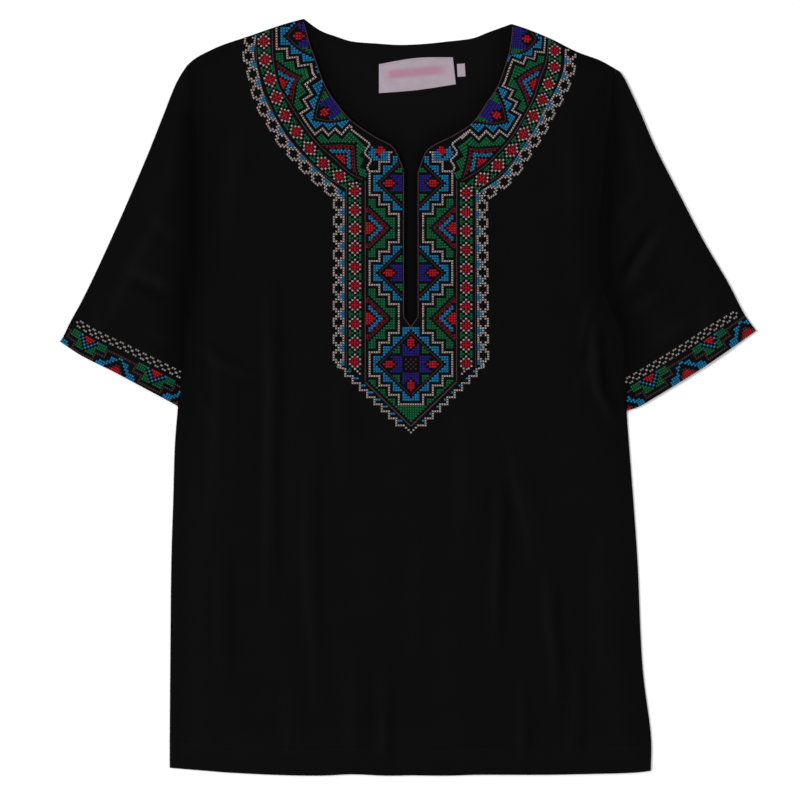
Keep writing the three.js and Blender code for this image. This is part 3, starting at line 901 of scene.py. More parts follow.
def work(chart, at, rows, columns, keep, panel):
    """Works every square whose colour in the chart isn't empty and whose centre is kept."""
    r, c = np.meshgrid(rows, columns, indexing="ij")
    centre = at(r, c)
    wanted = (chart != "") & keep(centre[..., 0], centre[..., 1])
    r, c, colour = r[wanted], c[wanted], chart[wanted]
    corners = np.stack([at(r - 0.5, c - 0.5), at(r - 0.5, c + 0.5), at(r + 0.5, c + 0.5), at(r + 0.5, c - 0.5)], 1)
    for name in COLOURS:
        if (colour == name).any():
            stitches.append((name, corners[colour == name], panel))
    return int(wanted.sum())


outlines = []  # each is (colour, starts, ends, half a strand's width) of strands that lie along a line
LONG_PITCH, LONG_REACH = 2.5, 2.9  # from one long stitch's start to the next, and its length: they overlap a little


def outline(colour, at, points, keep, width=0.75):
    """Long stitches end to end along straight runs between (row, column) corners."""
    p = np.asarray(points, float)
    path = at(*(np.interp(np.linspace(0, len(p) - 1, 60 * len(p)), np.arange(len(p)), p[:, k]) for k in (0, 1)))
    run = run_of(path)
    begin = np.arange(0.0, run[-1] - 2.0, LONG_PITCH)
    start, end = place_at(path, run, begin), place_at(path, run, begin + LONG_REACH)
    kept = keep(*start.T) & keep(*end.T)
    outlines.append((colour, start[kept], end[kept], width))


def letters(lines, repeats):
    """A small repeat, written as lines of letters, as a chart of that many repeats."""
    one = np.array([[LETTER.get(letter, "") for letter in line] for line in lines], dtype="<U8")
    return np.tile(one, (repeats, 1))


def inside(outline, x, y):
    """True for each place inside a closed outline: a ray from it to the right crosses the outline an odd number
    of times."""
    crossed = np.zeros(x.shape, bool)
    for (ax, ay), (bx, by) in zip(outline, np.roll(outline, -1, axis=0)):
        if ay != by:
            crossed ^= ((ay > y) != (by > y)) & (x < (bx - ax) * (y - ay) / (by - ay) + ax)
    return crossed


ALL = np.linspace(0, 1, 80)  # shares all along an edge
FRONT_OUTLINE = np.concatenate([
    LEFT["body"](ALL), edge(LEFT["shoulder"])(ALL), edge(LEFT["neckline"])(ALL)[::-1],
    [(SLIT_LEFT, SLIT_SHOULDER), FOOT, (SLIT_RIGHT, SLIT_SHOULDER)],
    edge(RIGHT["neckline"])(ALL), edge(RIGHT["shoulder"])(ALL)[::-1], RIGHT["body"](ALL)[::-1],
    edge(RIGHT["hem"])(ALL), edge(LEFT["hem"])(ALL)[::-1],
])
CLEAR_OF_NECK, CLEAR_OF_SHOULDER = 2.2, 1.6  # the least distance of a square's middle from each


def on_front(x, y):
    """True where a square lies on the front, clear of the rolled edge of its neckline and of its seams."""
    clear = (read(FROM_NECK, x, y) > CLEAR_OF_NECK) & (read(FROM_SHOULDER, x, y) > CLEAR_OF_SHOULDER)
    return inside(FRONT_OUTLINE, x, y) & clear


print(f"one square is {CELL:.2f} by {ROW:.2f} mm")

# %% [markdown]
# ### The placket's chart
#
# Half-diamonds alternate with chevrons down each side of the slit, every 38 rows, and the last is a whole diamond
# below the slit's foot. The rules use i, the columns from the middle, a, the rows from the nearest half-diamond's
# centre, and b = 19 - a, the rows from the nearest chevron's.


# %% Motif rules
# The cream stair round a half-diamond, as stretches from one i to another and from one a to another.
STAIR = [(17, 17, 0, 5), (13, 17, 5, 5), (13, 13, 5, 9), (9, 13, 9, 9), (9, 9, 9, 13), (5, 9, 13, 13)]


def steps(k, first):
    """The stair that the outlines follow: 0 up to first, then one more for every four squares."""
    return np.ceil(np.maximum(np.round(k, 3) - first, 0) / 4).astype(int)


def motif_chart(i, a, whole=False, below=False, collar=False):
    """The colours of squares in the large motifs. whole is true in the whole diamond, below is true under its
    centre, where there are no chevrons, and the collar's half-diamonds have slightly longer arms."""
    chart = np.full(i.shape, "", dtype="<U8")
    whole, below = np.broadcast_to(whole, i.shape), np.broadcast_to(below, i.shape)
    b = 19 - a
    d = (19 - i) + b
    chart[~below & (((d <= 4) & (i <= 17)) | ((i == 18) & (b <= 2)))] = "red"
    chart[~below & (d >= 6) & (d <= 7) & (i <= 17)] = "sky"
    chart[~below & (i <= 18) & ((d == 9) | ((d == 8) & (i % 2 == 0)))] = "crimson"
    outside = steps(i - 1, 5) + steps(a - 1, 5) > 3
    chart[~below & (d >= 12) & outside & (i <= 17) & ((a <= 18) | (i >= 7))] = "green"
    chart[below & (i <= 17) & ((outside & (i + a <= 24)) | (i + a == 24) | ((a >= 18) & (i + a <= 24)))] = "green"
    chart[(steps(i, 3) + steps(a, 3) <= 3) & (i + a >= 15)] = "sky"
    chart[i + a == 13] = ""
    for p, q, here in ((i, a, ~np.zeros_like(whole)), (a, i, whole)):
        if collar:
            chart[(p >= 3) & (p <= np.minimum(np.where(q == 0, 6, 5 + q), 8)) & (q <= 4) & here] = "royal"
            chart[(((p >= 8) & (p <= 9) & (q <= 1)) | ((p >= 7) & (p <= 10) & (q == 0))) & here] = "red"
        else:
            chart[(p >= 4) & (p <= np.minimum(5 + q, 8)) & (q <= 3) & here] = "royal"
            chart[(((p >= 8) & (p <= 10) & (q <= 1)) | ((p >= 7) & (p <= 11) & (q == 0))) & here] = "red"
    corner = np.where(whole, (i >= 5) & (i + a <= 12), (i >= (3 if collar else 4)) & (i + a <= (12 if collar else 11)))
    chart[corner & (a >= 5)] = "green"
    chart[whole & (i <= 2) & (a <= 2) & ((i + a) % 2 == 0)] = "brown"
    cream = (i == 5) & (a >= 13) & (a <= np.where(below, 17, 19))
    cream |= below & (a == 17) & (i <= 5)
    for i_low, i_high, a_low, a_high in STAIR:
        cream |= (i >= i_low) & (i <= i_high) & (a >= a_low) & (a <= a_high)
    chart[cream] = "cream"
    if not collar:
        chart[(i == 5) & (a == 19) & ~below] = "green"
    return chart


# Placket: rows count down from the whole diamond's centre, columns run across from the middle.
PLACKET_X, PLACKET_Y = drawn((411.0, 364.3))
TOP_ROW = -92
placket_rows = through([-92, -76, -38, 0, 17, 29], [-92, -76, -38.4, 0, 16.8, 28.6])


def on_placket(row, column):
    """The placket's grid is straight, but its rows aren't all quite the same height."""
    place = [PLACKET_X + np.asarray(column) * CELL, PLACKET_Y - placket_rows(row) * ROW]
    return np.stack(np.broadcast_arrays(*place), -1)


def mitre(x):
    """The height, on the ruled sheet, at which the placket's bands meet the collar's."""
    aside = np.abs(x - PLACKET_X) / PX
    return np.interp(aside, [0, 7, 41, 46, 64, 78, 95], [157, 160, 172, 180, 189, 199, 209])


def below_mitre(x, y):
    """True on the placket's side of the mitre."""
    return SHEET_Y - y / PX > mitre(x)


rows, columns = np.arange(TOP_ROW, 31), np.arange(-19, 20)
J, I = np.meshgrid(rows, columns, indexing="ij")
i = np.abs(I)
above = np.abs((J + 19) % 38 - 19)
a = np.where(J > -19, np.abs(J), above)
whole = J > -19
placket = motif_chart(i, a, whole, J > 0)
in_first = (J < -76) & (steps(i, 5) + steps(a, 5) <= 3) & (i <= 17)
placket[(J < -76) & ((~in_first & (a > 5)) | ((a >= 13) & (i < 8)))] = ""
placket[(i == 19) | ((i == 18) & (placket != "red") & (placket != "crimson"))] = ""
placket[(J > 0) & (i + J > 24)] = ""
placket[(i <= 2) & (J < -15)] = ""


def placket_keep(x, y):
    """True on the front below the mitre, and in the whole of the first half-diamond, which reaches past it."""
    row, column = (PLACKET_Y - y) / ROW, np.abs(x - PLACKET_X) / CELL
    first = (row < -75.5) & (column < 17.6) & (steps(column, 5) + steps(-76 - row, 5) <= 3)
    return on_front(x, y) & (below_mitre(x, y) | first)


def below_both(x, y):
    """True on the front and below the mitre."""
    return on_front(x, y) & below_mitre(x, y)


count = work(placket, on_placket, rows, columns, placket_keep, "front")
for hand in (-1, 1):
    for row in (-76, -38, 0):
        outline("brown", on_placket, [(row - 13.2, 0), (row, 13.2 * hand), (row + 13.2, 0)], placket_keep, 0.4)
    for row in (-57, -19):
        outline("brown", on_placket, [(row - 9, 18 * hand), (row, 9 * hand), (row + 9, 18 * hand)], below_both, 0.4)
    outline("brown", on_placket, [(-80, 18.8 * hand), (7.6, 18.8 * hand)], below_both)
    outline("brown", on_placket, [(7.4, 18.9 * hand), (26.4, 0)], on_front, 1.1)
    outline("brown", on_placket, [(-80, 26.6 * hand), (1.5, 26.6 * hand)], below_both, 0.5)
print(f"placket: {count} squares")


# %% The foot of the placket and its upper corners
def free_squares(squares, colour, keep=on_front, hands=(1, -1)):
    """Works single squares, given as (column, row) from the placket's middle, on both sides of it."""
    c, r = np.array([(hand * column, row) for column, row in squares for hand in hands], float).T
    corners = np.stack([on_placket(r + u, c + v) for u, v in ((-0.5, -0.5), (-0.5, 0.5), (0.5, 0.5), (0.5, -0.5))], 1)
    kept = keep(*corners.mean(1).T)
    stitches.append((colour, corners[kept], "front"))


def line_of(points, colour):
    """Squares one after another along straight runs between (column, row) corners."""
    p = np.asarray(points, float)
    run = run_of(p)
    free_squares(place_at(p, run, np.linspace(0, run[-1], int(round(run[-1])) + 1)), colour)


def block(rows):
    """(column, row) for rows of squares in the upper corner, each written as (row above the half-diamond's
    centre, first column, last column)."""
    return [(column, -76 - row) for row, low, high in rows for column in range(low, high + 1)]


zigzag = [(30, 1.2), (27, 2)]
for k in range(8):
    zigzag += [(27 - 3 * k, 5 + 3 * k), (24 - 3 * k, 5 + 3 * k)]
for (c0, r0), (c1, r1) in zip(zigzag[:-1], zigzag[1:]):
    count = max(abs(c1 - c0), round(abs(r1 - r0)))
    free_squares([(c0 + (c1 - c0) * k / count, r0 + (r1 - r0) * k / count) for k in range(count)], "cream")
free_squares([(3, 26), (2, 27), (1, 28)], "cream")
free_squares([(0, 29)], "cream", hands=(1,))
free_squares([(30, 0.4), (29, 0.6)], "cream")
free_squares([(26 - 3 * k - m, 3 + 3 * k) for k in range(8) for m in (0, 1)], "sky", hands=(-1,))
free_squares([(26 - 3 * k, 3 + 3 * k) for k in range(8)], "sky", hands=(1,))
free_squares([(23, 2), (22, 3), (21, 4)], "cream")

CORNER = [(17, -81), (18, -82.3), (17.6, -83.6), (16.2, -85.7), (19, -88.4), (18.9, -89.5), (17.2, -91.8),
          (16.9, -92.6), (24.3, -98.4)]
line_of(CORNER, "cream")
free_squares(block([(15, 12, 13), (14, 11, 14), (13, 12, 14), (12, 13, 13)]), "red")
free_squares(block([(15, 16, 16), (14, 15, 16), (13, 15, 17), (12, 15, 17), (11, 14, 16), (10, 14, 15)]), "sky")
free_squares(block([(13, 10, 11), (12, 10, 12), (11, 10, 12), (10, 10, 13)]), "sky")
CORNER_AREA = np.array([(c + 1.2, r + 0.4) for c, r in CORNER[:-1]]
                       + [(24, -98.4), (24, -110), (0, -110), (0, -76), (17, -76)])
print("foot of the placket:", len(zigzag), "corners in its outer zigzag")

# %% [markdown]
# ### The narrow bands and the collar
#
# Two narrow bands run outside the placket and on round the collar: small diamonds, then a chain of rings. The
# collar repeats the placket's wide motifs, bent along the neck. Its columns are counted back from the brown line
# that edges it, so that the chart's rules hold there too.

# %% Narrow bands
DIAMONDS = [".G.C.G.", "..CDC..", ".CDRDC.", ".DRRRD.", ".CDRDC.", "..CDC..", ".G.C.G.", ".GG.GG."]
RINGS_LEFT = ["CC.CC", "C...C", "C...C", "CC.CC", ".CCCS", "..CSS", ".CCCS"]
RINGS = {"left": RINGS_LEFT, "right": [line[::-1] for line in RINGS_LEFT]}
PLACKET_BANDS = {
    "left": {"diamonds": ((355.1, 191.1), (355.1, 191.1 + 18.95 * 9)), "rings": ((338.9, 203.8), (338.6, 356.2))},
    "right": {"diamonds": ((466.3, 193.1), (466.3, 193.1 + 18.95 * 9)), "rings": ((482.3, 206.5), (483.4, 355.4))},
}
COLLAR = {
    "left": {
        "line": [(364.9, 179.7), (350.6, 172.6), (334.9, 158.3), (317.7, 142.6), (303.4, 124), (289.9, 102.6),
                 (279, 85.4), (274, 60), (273, 33)],
        "outer": [(344.9, 187.6), (324.9, 175.4), (306.3, 158.3), (292, 142.6), (279.1, 124), (269.1, 104),
                  (260.6, 85.4), (257, 66.9), (255.6, 39.7)],
        "diamonds": [(339.4, 176.1), (323.4, 163.3), (309.6, 148.3), (296.3, 131.9), (285.1, 115.4),
                     (276.6, 97.6), (270.3, 79.4), (265.1, 59.7), (263.7, 41.1)],
        "rings": [(330.9, 189.7), (318.1, 179), (305.6, 167.1), (293.7, 154), (282.3, 140.4), (273.1, 124.7),
                  (263.7, 109.4), (257.4, 92.9), (253, 74.3), (248.4, 55.7), (249.9, 40.4)],
        "rows": ((-19, 0, 19, 38), (32.3, 81.6, 130.3, 179.6)), "hand": -1,
        "stretch": ((32, 80, 130, 180), (0.985, 1.0, 1.04, 1.06)),
    },
    "right": {
        "line": [(457.1, 181.9), (467.1, 176.9), (484.3, 165.4), (498.6, 151.1), (510, 138.3), (520, 122.6),
                 (532.9, 98.3), (539.3, 78.3), (545.7, 61.1), (547.9, 42.6)],
        "outer": [(476, 190), (497, 177), (515, 159), (530, 140), (542, 121), (552, 102), (560, 84), (564, 68),
                  (566, 50)],
        "diamonds": [(482.1, 179), (497.9, 165.4), (511.7, 150.4), (523.6, 134), (533.6, 116.1), (542.6, 99.7),
                     (548.6, 84), (554.3, 66.9), (555, 50.4)],
        "rings": [(490, 191.9), (504.3, 181.9), (516.4, 168.3), (525, 154.7), (534.6, 140.4), (542.1, 128.3),
                  (548.9, 114), (556.9, 100.1), (564.3, 85.4), (569.7, 69), (570.7, 53.3)],
        "rows": ((-19, 0, 19, 38), (31.6, 82.5, 129.3, 175.5)), "hand": 1,
        "stretch": ((32, 80, 130, 165), (1.01, 1.0, 0.91, 0.88)),
    },
}


def band(kind, key, points, keep):
    """Works repeats of a small motif, the middle of each on one point of its path."""
    lines, middle, pitch = (DIAMONDS, 3.0, 1.06 * CELL) if kind == "diamonds" else (RINGS[key], 1.5, CELL)
    knots = edge(points).knots
    chart = letters(lines, len(points) + 2)
    centres = middle + len(lines) * np.arange(len(points))
    at = strip(points, through(centres, knots), evenly(-pitch))
    columns = np.arange(chart.shape[1]) - len(lines[0]) // 2
    downwards = points[-1, 1] < points[0, 1]
    return work(chart[:, ::-1] if downwards else chart, at, np.arange(len(chart)) - len(lines), columns, keep, "front")


worked = 0
for key, sides in PLACKET_BANDS.items():
    for kind, low in (("diamonds", 370.0), ("rings", 365.6)):
        path = drawn(np.linspace(*np.array(sides[kind]), 10))

        def keep(x, y, low=low):
            return below_both(x, y) & (SHEET_Y - y / PX < low)

        worked += band(kind, key, path, keep)
print(f"narrow bands beside the placket: {worked} squares")


# %% The collar
def above_mitre(x, y):
    """True on the front and on the collar's side of the mitre."""
    return on_front(x, y) & ~below_mitre(x, y)


def clear_of_corner(x, y):
    """Above the mitre, and outside the placket's first half-diamond and its upper corners."""
    row, column = (PLACKET_Y - y) / ROW, np.abs(x - PLACKET_X) / CELL
    first = (column < 17.8) & (steps(column, 5) + steps(-76 - row, 5) <= 3)
    return above_mitre(x, y) & ~first & ~inside(CORNER_AREA, column, row)


ACROSS = through([0, 2, 6, 10, 14, 16], [-0.3, 1.3, 5.4, 9.2, 14.4, 16.2])  # columns in from the collar's brown line
worked = 0
for key, parts in COLLAR.items():
    def across(column, run, parts=parts):
        return parts["hand"] * CELL * ACROSS(19 - column) * np.interp(run / PX, *parts["stretch"])

    line = drawn(parts["line"])
    along = through(parts["rows"][0], np.array(parts["rows"][1]) * PX)
    r, columns = np.arange(-36, 46), np.arange(2, 18)
    R, I = np.meshgrid(r, columns, indexing="ij")
    chart = motif_chart(I, np.abs((R + 19) % 38 - 19), collar=True)
    chart[(R < -19) & (chart == "cream")] = ""
    at = strip(line, along, across)
    worked += work(chart, at, r, columns, clear_of_corner, "front")
    outline("brown", at, [(-36, 19), (46, 19)], above_mitre, 0.6)
    for row in (0, 38):
        outline("brown", at, [(row - 12, 1), (row, 13), (row + 12, 1)], clear_of_corner, 0.4)
    for row in (-19, 19):
        outline("brown", at, [(row - 9, 18), (row, 9), (row + 9, 18)], clear_of_corner, 0.4)
    for kind in ("diamonds", "rings"):
        worked += band(kind, key, drawn(parts[kind]), above_mitre)
    outer = drawn(parts["outer"])
    reach = edge(outer).length + 12
    outline("brown", strip(outer, evenly(1.0), evenly(1.0)), [(-6, 0), (reach, 0)], above_mitre, 0.5)
print(f"collar: {worked} squares")

# %% [markdown]
# ### The cuffs
#
# Each cuff has one wide band, in which triangles that stand on their points alternate with arches, and a chain of
# small rings above it. Its rows are counted up from the cuff's edge, and its columns along it from the outer tip.

# %% Cuffs
CUFF_LINES = [
    "RRR.SGGGG.......", "RR.S.GGGGBBBBBBB", "R.S.GGGGGB.....S", ".S.GG....B..SSS.", "S.GGGBBBBB..SS..",
    ".GGGGB.....SS..B", ".....B..SSSS..BR", "BBBBBB.SSSS..BRR", ".......SSSS.BRRR",
]  # from the top row to the edge, and across from the middle of a triangle to the middle of an arch
CUFF = {
    "left": {"path": LEFT["cuff"], "hand": 1, "centre": 24.4, "repeat": 75.0, "lift": ((0, 50), (-0.5, 0.3)),
             "first": 2.6, "pitch": 3.37, "chain": ((2, 49), (9.4, 10.6)), "body": 183.0},
    "right": {"path": RIGHT["cuff"], "hand": -1, "centre": 44.7, "repeat": 71.8, "lift": ((0, 50), (0.5, 0.5)),
              "first": 4.0, "pitch": 3.2, "chain": ((4, 15), (9.4, 10.2)), "body": 625.0},
}  # middle of a triangle, length of a repeat and the body's edge are on the ruled sheet, the rest in squares
CHART_REPEAT = 31  # columns of the chart from one triangle to the next
RING = [(0, -0.5), (0, 0.5), (1.15, -1.5), (2.3, -0.5), (2.3, 0.5), (1.15, 1.5)]


def cuff_chart(offset):
    """The cuff's wide band, from each column's offset from the nearest triangle's middle."""
    one = letters(CUFF_LINES[::-1], 1)
    return one[:, np.clip(np.round(np.abs(offset)), 0, 15).astype(int)]


SLEEVE_OUTLINES = {}
for key, parts in SLEEVES.items():
    e = parts["edges"]
    SLEEVE_OUTLINES[key] = np.concatenate([e["low"](ALL[::-1]), e["outer"](ALL), e["high"](ALL), e["inner"](ALL[::-1])])

worked = 0
for key, parts in CUFF.items():
    curve = strip(parts["path"], evenly(CELL), lambda up, run: up)
    limit = abs(drawn((parts["body"], 0.0))[0])

    def at(row, column, curve=curve, parts=parts, flat=False):
        """Row first, up from the cuff's edge; the lowest squares stop just inside the edge."""
        lift = 0.0 if flat else np.interp(column, *parts["lift"])
        return curve(column, np.maximum((np.asarray(row, float) + lift) * CELL, 0.35) * parts["hand"])

    def keep(x, y, outline=SLEEVE_OUTLINES[key], limit=limit):
        return inside(outline, x, y) & (np.abs(x) > limit)

    count = int(edge(parts["path"]).length / CELL) + 2
    columns, rows = np.arange(count), np.arange(9)
    repeat = parts["repeat"] / SQUARE
    offset = (columns - parts["centre"] / SQUARE + repeat / 2) % repeat - repeat / 2
    worked += work(cuff_chart(offset * CHART_REPEAT / repeat), at, rows, columns, keep, key)
    for middle in np.arange(parts["first"], count, parts["pitch"]):
        foot = np.interp(middle, *parts["chain"])
        for row, column in RING:
            worked += work(np.array([["grey"]], dtype="<U8"), lambda r, c: at(r, c, flat=True),
                           np.array([foot + row]), np.array([middle + column]), keep, key)
print(f"cuffs: {worked} squares")

# %% [markdown]
# ### From squares to thread
#
# A strand is a thin spindle with four sides: it starts in a point at one corner of its square, arches over the
# cloth, and ends in a point at the other. The strand that is worked second lies on top of the first. All strands
# of one colour make one piece.

# %% Strands
STRAND_DEPTH = 0.34  # half the depth of a strand at its middle
STRAND_SUNK = 0.06  # how far a strand's ends sink into the cloth
FIRST_LIFT, SECOND_LIFT = 0.20, 0.42  # how high each strand of a stitch arches
# How far a stitch reaches across its square, and half its strands' width.
STITCH = {"cream": (0.80, 0.50), "grey": (0.80, 0.50), "brown": (0.82, 0.46)}
STITCH_ELSE = (0.88, 0.66)
STRAND_RINGS = np.array([0.16, 0.5, 0.84])
STRAND_SHARE = np.array([0.72, 1.0, 0.72])
rng = np.random.default_rng(11)


def surface_height(panel, x, y):
    """The height of the upper side of a panel's cloth."""
    if panel == "front":
        drop = seam_drop(np.minimum(read(FROM_SIDE, x, y), read(FROM_SHOULDER, x, y)))
        return read(FRONT, x, y) - drop + FRONT_CLOTH / 2
    return 2 * FOLD_RADIUS + read(SLEEVES[panel]["loft"], x, y)


def strands(start, end, lift, width, depth, panel):
    """Points and faces of many strands at once. Each runs from a start to an end, both (x, y) on the cloth. Its
    middle line stands over the cloth by its lift times a half sine, and each ring has four points, aside, above,
    aside and below."""
    count = len(start)
    share = np.concatenate([[0.0], STRAND_RINGS, [1.0]])
    line = start[:, None] + (end - start)[:, None] * share[:, None]
    z = surface_height(panel, line[..., 0], line[..., 1]) - STRAND_SUNK
    z = z + lift[:, None] * np.sin(np.pi * share)
    left = np.c_[to_left(unit(end - start)), np.zeros(count)]
    core = np.concatenate([line, z[..., None]], -1)
    rings = []
    for k, thick in enumerate(STRAND_SHARE):
        side = left * (width * thick)[:, None]
        rise = np.array([0.0, 0.0, 1.0]) * (depth * thick)[:, None]
        middle = core[:, k + 1]
        rings.append(np.stack([middle + side, middle + rise, middle - side, middle - rise * 0.6], 1))
    points = np.concatenate([core[:, :1], *rings, core[:, 4:]], 1)
    fan = np.array([[0, 1 + k, 1 + (k + 1) % 4] for k in range(4)])
    last = np.array([[13, 9 + (k + 1) % 4, 9 + k] for k in range(4)])
    body = np.array([[1 + 4 * m + k, 5 + 4 * m + k, 5 + 4 * m + (k + 1) % 4, 1 + 4 * m + (k + 1) % 4]
                     for m in (0, 1) for k in range(4)])
    base = (np.arange(count) * 14)[:, None, None]
    triangles = (np.concatenate([fan, last]) + base).reshape(-1, 3)
    return points.reshape(-1, 3), [triangles, (body + base).reshape(-1, 4)]


def cross_stitches(squares, panel, colour):
    """Two strands for each square, corner to corner, the second over the first, with small seeded differences in
    how far each reaches, how thick it is and how dark."""
    n = len(squares)
    middle = squares.mean(1, keepdims=True)
    extent, width = STITCH.get(colour, STITCH_ELSE)
    reach = extent + 0.06 * rng.random((n, 4, 1))
    corners = middle + (squares - middle) * reach
    size = np.hypot(*(squares[:, 2] - squares[:, 0]).T) / (CELL * math.sqrt(2))
    start = np.concatenate([corners[:, 0], corners[:, 3]])
    end = np.concatenate([corners[:, 2], corners[:, 1]])
    lift = np.concatenate([np.full(n, FIRST_LIFT), np.full(n, SECOND_LIFT)]) * (0.85 + 0.3 * rng.random(2 * n))
    thick = width * np.clip(np.tile(size, 2), 0.5, 1.1) * (0.9 + 0.2 * rng.random(2 * n))
    points, faces = strands(start, end, lift, thick, np.full(2 * n, STRAND_DEPTH), panel)
    shade = np.repeat(np.clip(0.5 + 0.22 * rng.standard_normal(2 * n), 0, 1), 14)
    return points, faces, shade


def gather(parts):
    """Several lots of points and faces as one, with the faces renumbered."""
    points, blocks, shade, first = [], {3: [], 4: []}, [], 0
    for p, faces, s in parts:
        for block in faces:
            blocks[block.shape[1]].append(block + first)
        first += len(p)
        points.append(p)
        shade.append(s)
    return np.concatenate(points), [np.concatenate(b) for b in blocks.values() if b], np.concatenate(shade)


def line_stitches(start, end, width):
    """One strand for each stitch of an outline."""
    n = len(start)
    points, faces = strands(start, end, 0.2 + 0.1 * rng.random(n), np.full(n, width), np.full(n, 0.26), "front")
    return points, faces, np.repeat(np.clip(0.5 + 0.2 * rng.standard_normal(n), 0, 1), 14)


embroidery = {}
for colour in COLOURS:
    lots = [cross_stitches(squares, panel, colour) for name, squares, panel in stitches if name == colour]
    lots += [line_stitches(start, end, width) for name, start, end, width in outlines if name == colour]
    points, faces, shade = gather(lots)
    embroidery[colour] = build("stitches_" + colour, points, faces, shade=shade)
    print(f"{colour}: {len(points) // 28} stitches, {sum(len(f) * (f.shape[1] - 2) for f in faces)} triangles")

# %% [markdown]
# ## The label and the size tab
#
# A woven label is a short tape with its ends turned under, sewn inside the back neck. It keeps a slight curl from
# washing, so its lower edge stands off the cloth. The small tab beside it is the same tape. Both are left bare.

# %% Label and tab
NECK_LABEL = {"top": ((-32.5, 366.4), (48.9, 374.0)), "low": ((-32.5, 334.4), (52.2, 344.3)), "sag": (-3.0, 1.5)}
SIZE_TAB = {"top": ((53.3, 366.6), (62.0, 367.2)), "low": ((54.1, 352.4), (62.8, 353.0)), "sag": (0.0, 0.0)}
LABEL_CLOTH, LABEL_HEIGHT = 0.45, 1.62  # thickness of the tape, and height of its middle at the sewn edge


def tape(name, table, node, curl):
    """A small patch whose long edges bow a little. Its middle stands off the back, higher towards the low edge."""
    def bowed(ends, sag):
        (x0, y0), (x1, y1) = ends
        return edge([(x0, y0), ((x0 + x1) / 2, (y0 + y1) / 2 - sag), (x1, y1)])

    top, low = bowed(table["top"], table["sag"][0]), bowed(table["low"], table["sag"][1])
    sides = [straight(low(e), top(e)) for e in (0.0, 1.0)]
    u, v = np.meshgrid(shares(40, (0.0, 0.004, 0.010), 0.022), shares(18, (0.0, 0.010, 0.026), 0.05))
    grid = coons(sides[0], sides[1], low, top, u, v)
    y_low, y_high = table["low"][0][1], table["top"][1][1]

    def middle(x, y):
        fall = np.clip((y_high - y) / (y_high - y_low), 0, 1)
        return LABEL_HEIGHT + curl * (0.5 * fall**2 + 0.16 * np.sin(x / 9.0) * fall) + 0.05 * np.sin(x / 5.0 + y / 7.0)

    made = shell(name, [grid], middle, [top, low, *sides], LABEL_CLOTH)
    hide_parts(node)
    return made


neck_label = tape("neck_label_tape", NECK_LABEL, "neck_label", 1.0)
size_tab = tape("size_tab_tape", SIZE_TAB, "size_tab", 0.5)
print("label and tab:", len(neck_label.data.polygons) + len(size_tab.data.polygons), "faces")

# %% [markdown]
# ## Sewing
#
# Lines of machine stitching hold the hem, the rolled neckline and the label. Each line is made of short strands in
# black thread, a little apart, laid on the cloth in the same way as the embroidery. Closer strands overcast the
# neckline's edge and draw the sleeves to the body at the armholes.


# %% Lines of stitching
def running(path, pitch=3.1, reach=2.3, height=None, width=0.26):
    """Short strands along a path, from one to the next by the pitch and each as long as the reach. They lie on the
    front, or at a height that is given."""
    run = run_of(path)
    begin = np.arange(0.5, run[-1] - pitch, pitch)
    ends = [place_at(path, run, s) for s in (begin, begin + reach)]
    n = len(begin)
    points, faces = strands(*ends, np.full(n, 0.14), np.full(n, width), np.full(n, 0.2), "front")
    if height is not None:
        points[:, 2] += height(points[:, 0], points[:, 1]) - surface_height("front", points[:, 0], points[:, 1])
    return points, faces, np.repeat(0.5 + 0.2 * rng.standard_normal(n).clip(-2, 2), 14)


def offset_path(points, aside, ends=(0.0, 1.0)):
    """A line beside an edge, to the left of its direction where aside is above 0."""
    share = np.linspace(*ends, 160)
    curve = edge(points)
    here = curve(share)
    return here + to_left(unit(np.gradient(here, axis=0))) * aside


def sewn(name, lots):
    """One piece from several lines of stitches."""
    points, faces, shade = gather(lots)
    made = build(name, points, faces, shade=shade)
    print(f"{name}: {len(points) // 14} stitches")
    return made


hem_line = np.concatenate([
    offset_path(LEFT["hem"], HEM_DEPTH - 2.0, ends=(0.012, 1.0)),
    offset_path(RIGHT["hem"][::-1], HEM_DEPTH - 2.0, ends=(0.0, 0.988)),
])
hem_stitches = sewn("stitches_hem", [running(hem_line)])
neck_lots = [running(offset_path(LEFT["neckline"], 4.4, ends=(0.02, 0.97))),
             running(offset_path(RIGHT["neckline"], -4.4, ends=(0.02, 0.97)))]
for side, x, hand in ((LEFT, SLIT_LEFT, -1), (RIGHT, SLIT_RIGHT, 1)):
    neck_lots.append(running(np.linspace((x + hand * 4.2, SLIT_SHOULDER + 2), (x + hand * 4.2, 248.0), 60)))
neck_stitches = sewn("stitches_neckline", neck_lots)
EDGE_IN = 1.3  # how far from the neckline's edge its overcast thread lies
edge_paths = [offset_path(side["neckline"], aside, ends=(0.0, 0.99))
              for side, aside in ((LEFT, EDGE_IN), (RIGHT, -EDGE_IN))]
edge_paths += [np.array([(CENTRE_X, SLIT_FOOT - 2.4), (x + aside, SLIT_SHOULDER), (x + aside, 249.0)])
               for x, aside in ((SLIT_LEFT, -EDGE_IN), (SLIT_RIGHT, EDGE_IN))]
edge_lots = [running(path, LONG_PITCH, LONG_REACH, width=0.6) for path in edge_paths]
edge_stitches = sewn("stitches_edge", edge_lots)
back_neck_line = offset_path(BACK_NECK, -6.0, ends=(0.05, 0.95))
back_stitches = sewn("stitches_back_neck", [
    running(back_neck_line, height=lambda x, y: read(BACK, x, y) + BACK_CLOTH / 2),
])
label_top = offset_path([NECK_LABEL["top"][0], (8.2, 373.2), NECK_LABEL["top"][1]], -1.8, ends=(0.01, 0.99))
label_stitches = sewn("stitches_label", [running(label_top, 2.2, 1.5, height=lambda x, y: 1.98 + 0 * x)])
